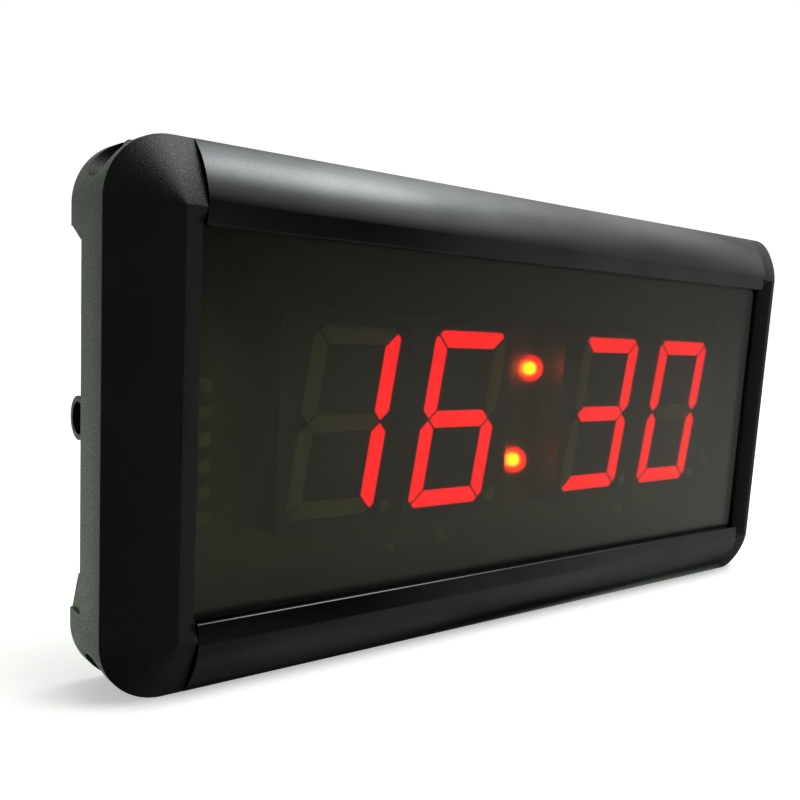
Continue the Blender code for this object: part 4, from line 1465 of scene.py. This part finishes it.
@dataclass
class ColonLamps:
    """Two round lamps on the board between the digit pairs."""

    x: float = 0.85 * MM
    z: float = 13.4 * MM
    slant: float = 0.155
    radius: float = 3.9 * MM
    flange: float = 4.3 * MM
    flange_height: float = 1.0 * MM
    height: float = 7.9 * MM
    chip_radius: float = 1.5 * MM
    chip_height: float = 4.0 * MM
    steps: int = 48
    glow_energy: float = 0.006
    glow_colour: str = "#ff2036"
    glow_radius: float = 2.0 * MM

    @property
    def lens(self) -> list[Point]:
        """The lens as radius and height above the board: a dome on a drum with a flange."""
        dome = circle_points((0.0, self.height - self.radius), self.radius, math.pi / 2, 0.0, 16)
        foot = [(self.radius, self.flange_height), (self.flange, self.flange_height), (self.flange, 0.0)]
        return dome + foot + [(0.0, 0.0)]

    @property
    def chip(self) -> list[Point]:
        """The glow round the chip, a small ball in the lens."""
        return circle_points((0.0, self.chip_height), self.chip_radius, math.pi / 2, -math.pi / 2, 12)

    def add_glow(self, name: str, base: Vector) -> None:
        """Adds the light that a lamp throws on what stands round it.

        Args:
            name: The lamp's name.
            base: The middle of its foot.
        """
        glow = bpy.data.lights.new(name + "_glow", "POINT")
        glow.energy = self.glow_energy
        glow.color = linear(self.glow_colour)[:3]
        glow.shadow_soft_size = self.glow_radius
        new_object(glow.name, glow).location = base + Vector((0.0, self.radius - self.height, 0.0))

    def build(self) -> None:
        """Makes each lamp's lens, the chip that glows in it and the light that it throws."""
        for word, up in LEVELS:
            name = f"colon_lamp_{word}"
            base = RIDGE_CENTRE + Vector((self.x + up * self.slant * self.z, DIGIT_BACK, up * self.z))
            placed = Matrix.Translation(base) @ FACING
            pieces = (("lens", self.lens, LENS, [name]), ("chip", self.chip, CHIP_GLOW, []))
            for part, profile, finish, nodes in pieces:
                piece = bake(lathe(f"{name}_{part}", profile, self.steps, placed))
                piece.visible_shadow = False
                coat(piece, finish)
                hand_over(piece, "lamp", *nodes)
            self.add_glow(name, base)


@dataclass
class BoardPads:
    """The tinned pads on the board's front: a column at its left end and a few below the digits."""

    x: float = -98.2 * MM
    first_z: float = 8.2 * MM
    pitch: float = 6.2 * MM
    count: int = 6
    half: float = 1.5 * MM
    height: float = 0.35 * MM
    layers: int = 5
    below_digits: tuple[Point, ...] = (
        (-42.2 * MM, -36.6 * MM),
        (-23.7 * MM, -35.1 * MM),
        (56.4 * MM, -33.6 * MM),
    )

    def pad(self) -> Object:
        """Makes one square pad with rounded corners and solder heaped on it, facing up along z.

        Returns:
            The pad.
        """
        corners = rectangle((-self.half, -self.half), (self.half, self.half))
        outline = fillet(corners, {i: 0.4 * self.half for i in range(4)}, 4)
        rows = []
        for layer in range(self.layers):
            turn = math.pi / 2 * layer / self.layers
            size, rise = math.cos(turn), self.height * math.sin(turn)
            rows.append([(x * size, y * size, rise) for x, y in outline])
        return skin("pad_blank", rows)

    def build(self) -> None:
        """Lays the pads on the board's front."""
        places = [(self.x, self.first_z - self.pitch * i) for i in range(self.count)] + list(self.below_digits)
        turns = [Vector((math.pi / 2, 0.0, 0.0))] * len(places)
        pads = scatter("board_pads", self.pad(), TIN, at_depth(places, BOARD_FRONT), turns)
        hand_over(pads, "board")


@dataclass
class PackedParts:
    """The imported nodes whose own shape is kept, each with its finish."""

    finishes: dict[str, Finish] = field(
        default_factory=lambda: {
            "back_panel": PANEL_SHEET,
            "main_board": BOARD_MASK,
            "infrared_receiver": CHIP_EPOXY,
            "microcontroller": ChipPackage("microcontroller_epoxy_and_leads"),
            "segment_driver_left": DRIVER,
            "segment_driver_right": DRIVER,
            "voltage_regulator": REGULATOR,
            "buzzer": CHIP_EPOXY,
            "clock_crystal": NICKEL,
            "coin_cell": NICKEL,
            "coin_cell_holder": NYLON,
            "smoothing_capacitor": TANTALUM,
            "power_connector": NYLON,
            **{f"{word}_switch": SWITCH_BODY for word in BUTTONS},
            **{f"{word}_button": BUTTON_PLASTIC for word in BUTTONS},
        }
    )

    def build(self, nodes: dict[str, Object]) -> None:
        """Gives each kept node its finish.

        Args:
            nodes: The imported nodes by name.
        """
        for name, finish in self.finishes.items():
            coat(nodes[name], finish)
            LOG.info("%s: packed node in %s", name, finish.name)


@dataclass(frozen=True)
class Softbox:
    """A round, soft light, far away: its angles are from the clock's front to its right, and upwards."""

    azimuth: float
    elevation: float
    strength: float
    reach: float = 28.0


SOFTBOXES = (
    # Two keys high over the front right
    Softbox(45, 68, 2.1),
    Softbox(90, 68, 1.9),
    # A narrow lamp just under the first, the brightest part of the top rail's band
    Softbox(43, 62, 3.2, 17.0),
    # Their skirt, which the top rail shows as a band
    Softbox(30, 48, 0.9),
    Softbox(55, 48, 0.78),
    Softbox(80, 48, 0.42),
    Softbox(105, 48, 0.62),
    # The dimmer right side of the room, down to the table
    Softbox(55, 27, 0.15),
    Softbox(80, 27, 0.2),
    Softbox(105, 27, 0.36),
    Softbox(50, 5, 0.16),
    Softbox(75, 5, 0.1),
    Softbox(25, -20, 0.02),
    Softbox(50, -20, 0.16),
    Softbox(75, -20, 0.21),
    # The table in front and on the left
    Softbox(-30, -20, 0.12),
    Softbox(0, -20, 0.08),
    Softbox(10, -45, 0.08),
    Softbox(50, -45, 0.18),
    Softbox(60, -70, 0.12),
    # The left side of the room
    Softbox(-100, 10, 0.15, 60.0),
)

# How bright the wall behind the clock is by the height of the direction looked in, from -1 to 1
WALL_BY_HEIGHT = (
    (-0.7, 0.05),
    (-0.38, 0.9),
    (-0.2, 0.94),
    (0.0, 0.66),
    (0.15, 0.58),
    (0.4, 0.62),
    (0.8, 0.95),
)

# How much of the wall there is by how far that direction points back, from -1 to 1
WALL_BY_BACK = ((0.25, 0.0), (0.7, 1.0))


@dataclass
class Studio:
    """A pale floor, a soft dome of light and the photograph's camera."""

    focal: float = 894.1
    frame: float = 800.0
    centre: Point = (388.7, 448.1)
    place: tuple[float, float, float] = (-191.45 * MM, -181.6 * MM, 85.1 * MM)
    yaw: float = 38.56
    pitch: float = -8.14
    roll: float = 3.10
    sensor: float = 36.0
    nearest: float = 0.01
    floor_half: float = 6.0
    floor_glow: float = 0.45
    dimmest: float = 0.01
    backdrop: float = 1.05

    def camera(self) -> None:
        """Sets the camera from the photograph's perspective, whose focal length and centre are in pixels."""
        yaw, pitch, roll = (math.radians(a) for a in (self.yaw, self.pitch, self.roll))
        ahead = Vector((math.sin(yaw) * math.cos(pitch), math.cos(yaw) * math.cos(pitch), math.sin(pitch)))
        level = Vector((math.cos(yaw), -math.sin(yaw), 0.0))
        upright = level.cross(ahead)
        right = level * math.cos(roll) + upright * math.sin(roll)
        up = upright * math.cos(roll) - level * math.sin(roll)
        data = bpy.data.cameras.new("camera")
        camera = new_object("camera", data)
        turn = Matrix((right, up, -ahead)).transposed().to_4x4()
        turn.translation = Vector(self.place)
        camera.matrix_world = turn
        data.sensor_fit = "HORIZONTAL"
        data.sensor_width = self.sensor
        data.lens = self.focal / self.frame * self.sensor
        data.shift_x = (self.frame / 2 - self.centre[0]) / self.frame
        data.shift_y = (self.centre[1] - self.frame / 2) / self.frame
        data.clip_start = self.nearest
        bpy.context.scene.camera = camera

    def floor(self) -> None:
        """Lays a wide pale floor under the clock, lit from below so that shadows stay thin."""
        shape = bmesh.new()
        bmesh.ops.create_grid(shape, x_segments=1, y_segments=1, size=self.floor_half)
        floor = new_object("studio_floor", mesh_of("studio_floor", shape))
        floor.visible_glossy = False
        paint = bpy.data.materials.new("pale_floor_paint")
        paint.use_nodes = True
        matt = {"Base Color": linear("#f4f4f2"), "Roughness": 0.9, "Specular IOR Level": 0.0}
        glow = {"Emission Color": linear("#ffffff"), "Emission Strength": self.floor_glow}
        fill_inputs(paint.node_tree.nodes["Principled BSDF"], {**matt, **glow})
        floor.data.materials.append(paint)

    def glow(self, ahead: Socket, box: Softbox) -> Node:
        """Adds a softbox, brightest in its middle.

        Args:
            ahead: The direction looked in.
            box: The softbox.

        Returns:
            The node that gives its brightness in that direction.
        """
        turn, height = math.radians(box.azimuth), math.radians(box.elevation)
        middle = (math.sin(turn) * math.cos(height), -math.cos(turn) * math.cos(height), math.sin(height))
        near = add_node(ahead.id_data, "ShaderNodeVectorMath", {0: ahead, 1: middle}, operation="DOT_PRODUCT")
        fall = {"From Min": math.cos(math.radians(box.reach)), "From Max": 1.0, "To Max": box.strength}
        return add_node(ahead.id_data, "ShaderNodeMapRange", {"Value": near.outputs["Value"], **fall})

    def by_stops(self, value: Socket, stops: tuple[Point, ...]) -> Node:
        """Maps a part of the direction to a brightness.

        Args:
            value: The part, from -1 to 1.
            stops: Values of it, each with its brightness.

        Returns:
            The node that gives the brightness.
        """
        span = {"Value": value, "From Min": -1.0, "From Max": 1.0}
        place = add_node(value.id_data, "ShaderNodeMapRange", span)
        ramp = add_node(value.id_data, "ShaderNodeValToRGB", {"Fac": place})
        marks = ramp.color_ramp.elements
        for i in (0, -1):
            at, level = stops[i]
            marks[i].position = (at + 1) / 2
            marks[i].color = (level, level, level, 1.0)
        for at, level in stops[1:-1]:
            marks.new((at + 1) / 2).color = (level, level, level, 1.0)
        return ramp

    def dome(self) -> None:
        """Lights the scene: softboxes high on the right, a dim front and a pale green wall behind."""
        world = bpy.data.worlds.new("studio_dome")
        world.use_nodes = True
        tree = world.node_tree
        tree.nodes.clear()
        ahead = tree.nodes.new("ShaderNodeTexCoord").outputs["Generated"]
        parts = add_node(tree, "ShaderNodeSeparateXYZ", {"Vector": ahead}).outputs
        total = self.dimmest
        for box in SOFTBOXES:
            total = add_node(tree, "ShaderNodeMath", {0: total, 1: self.glow(ahead, box)}, operation="ADD")
        shares = {0: self.by_stops(parts["Z"], WALL_BY_HEIGHT), 1: self.by_stops(parts["Y"], WALL_BY_BACK)}
        wall = add_node(tree, "ShaderNodeMath", shares, operation="MULTIPLY")
        lights = (("#ffffff", total), ("#eeffeb", wall), ("#ffffff", self.backdrop))
        boxes, paint, seen = (
            add_node(tree, "ShaderNodeBackground", {"Color": linear(colour), "Strength": strength})
            for colour, strength in lights
        )
        lit = add_node(tree, "ShaderNodeAddShader", {0: boxes, 1: paint})
        path = add_node(tree, "ShaderNodeLightPath").outputs["Is Camera Ray"]
        mixed = add_node(tree, "ShaderNodeMixShader", {0: path, 1: lit, 2: seen})
        add_node(tree, "ShaderNodeOutputWorld", {"Surface": mixed})
        bpy.context.scene.world = world

    def build(self) -> None:
        """Sets up the camera, the floor, the light and how light turns into colour."""
        bpy.context.scene.view_settings.view_transform = "Standard"
        self.camera()
        self.floor()
        self.dome()


def main() -> None:
    """Builds the studio and every part of the clock."""
    logging.basicConfig(level=logging.INFO, format="%(name)s: %(message)s")
    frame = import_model()
    Studio().build()
    FrameRails().build()
    EndCap(Side.LEFT, with_outlet=True).build()
    EndCap(Side.RIGHT, with_outlet=False).build()
    CapScrews().build()
    DisplayWindow().build()
    DigitRow().build()
    ColonLamps().build()
    BoardPads().build()
    PackedParts().build(frame["nodes"])


if __name__ == "__main__":
    main()
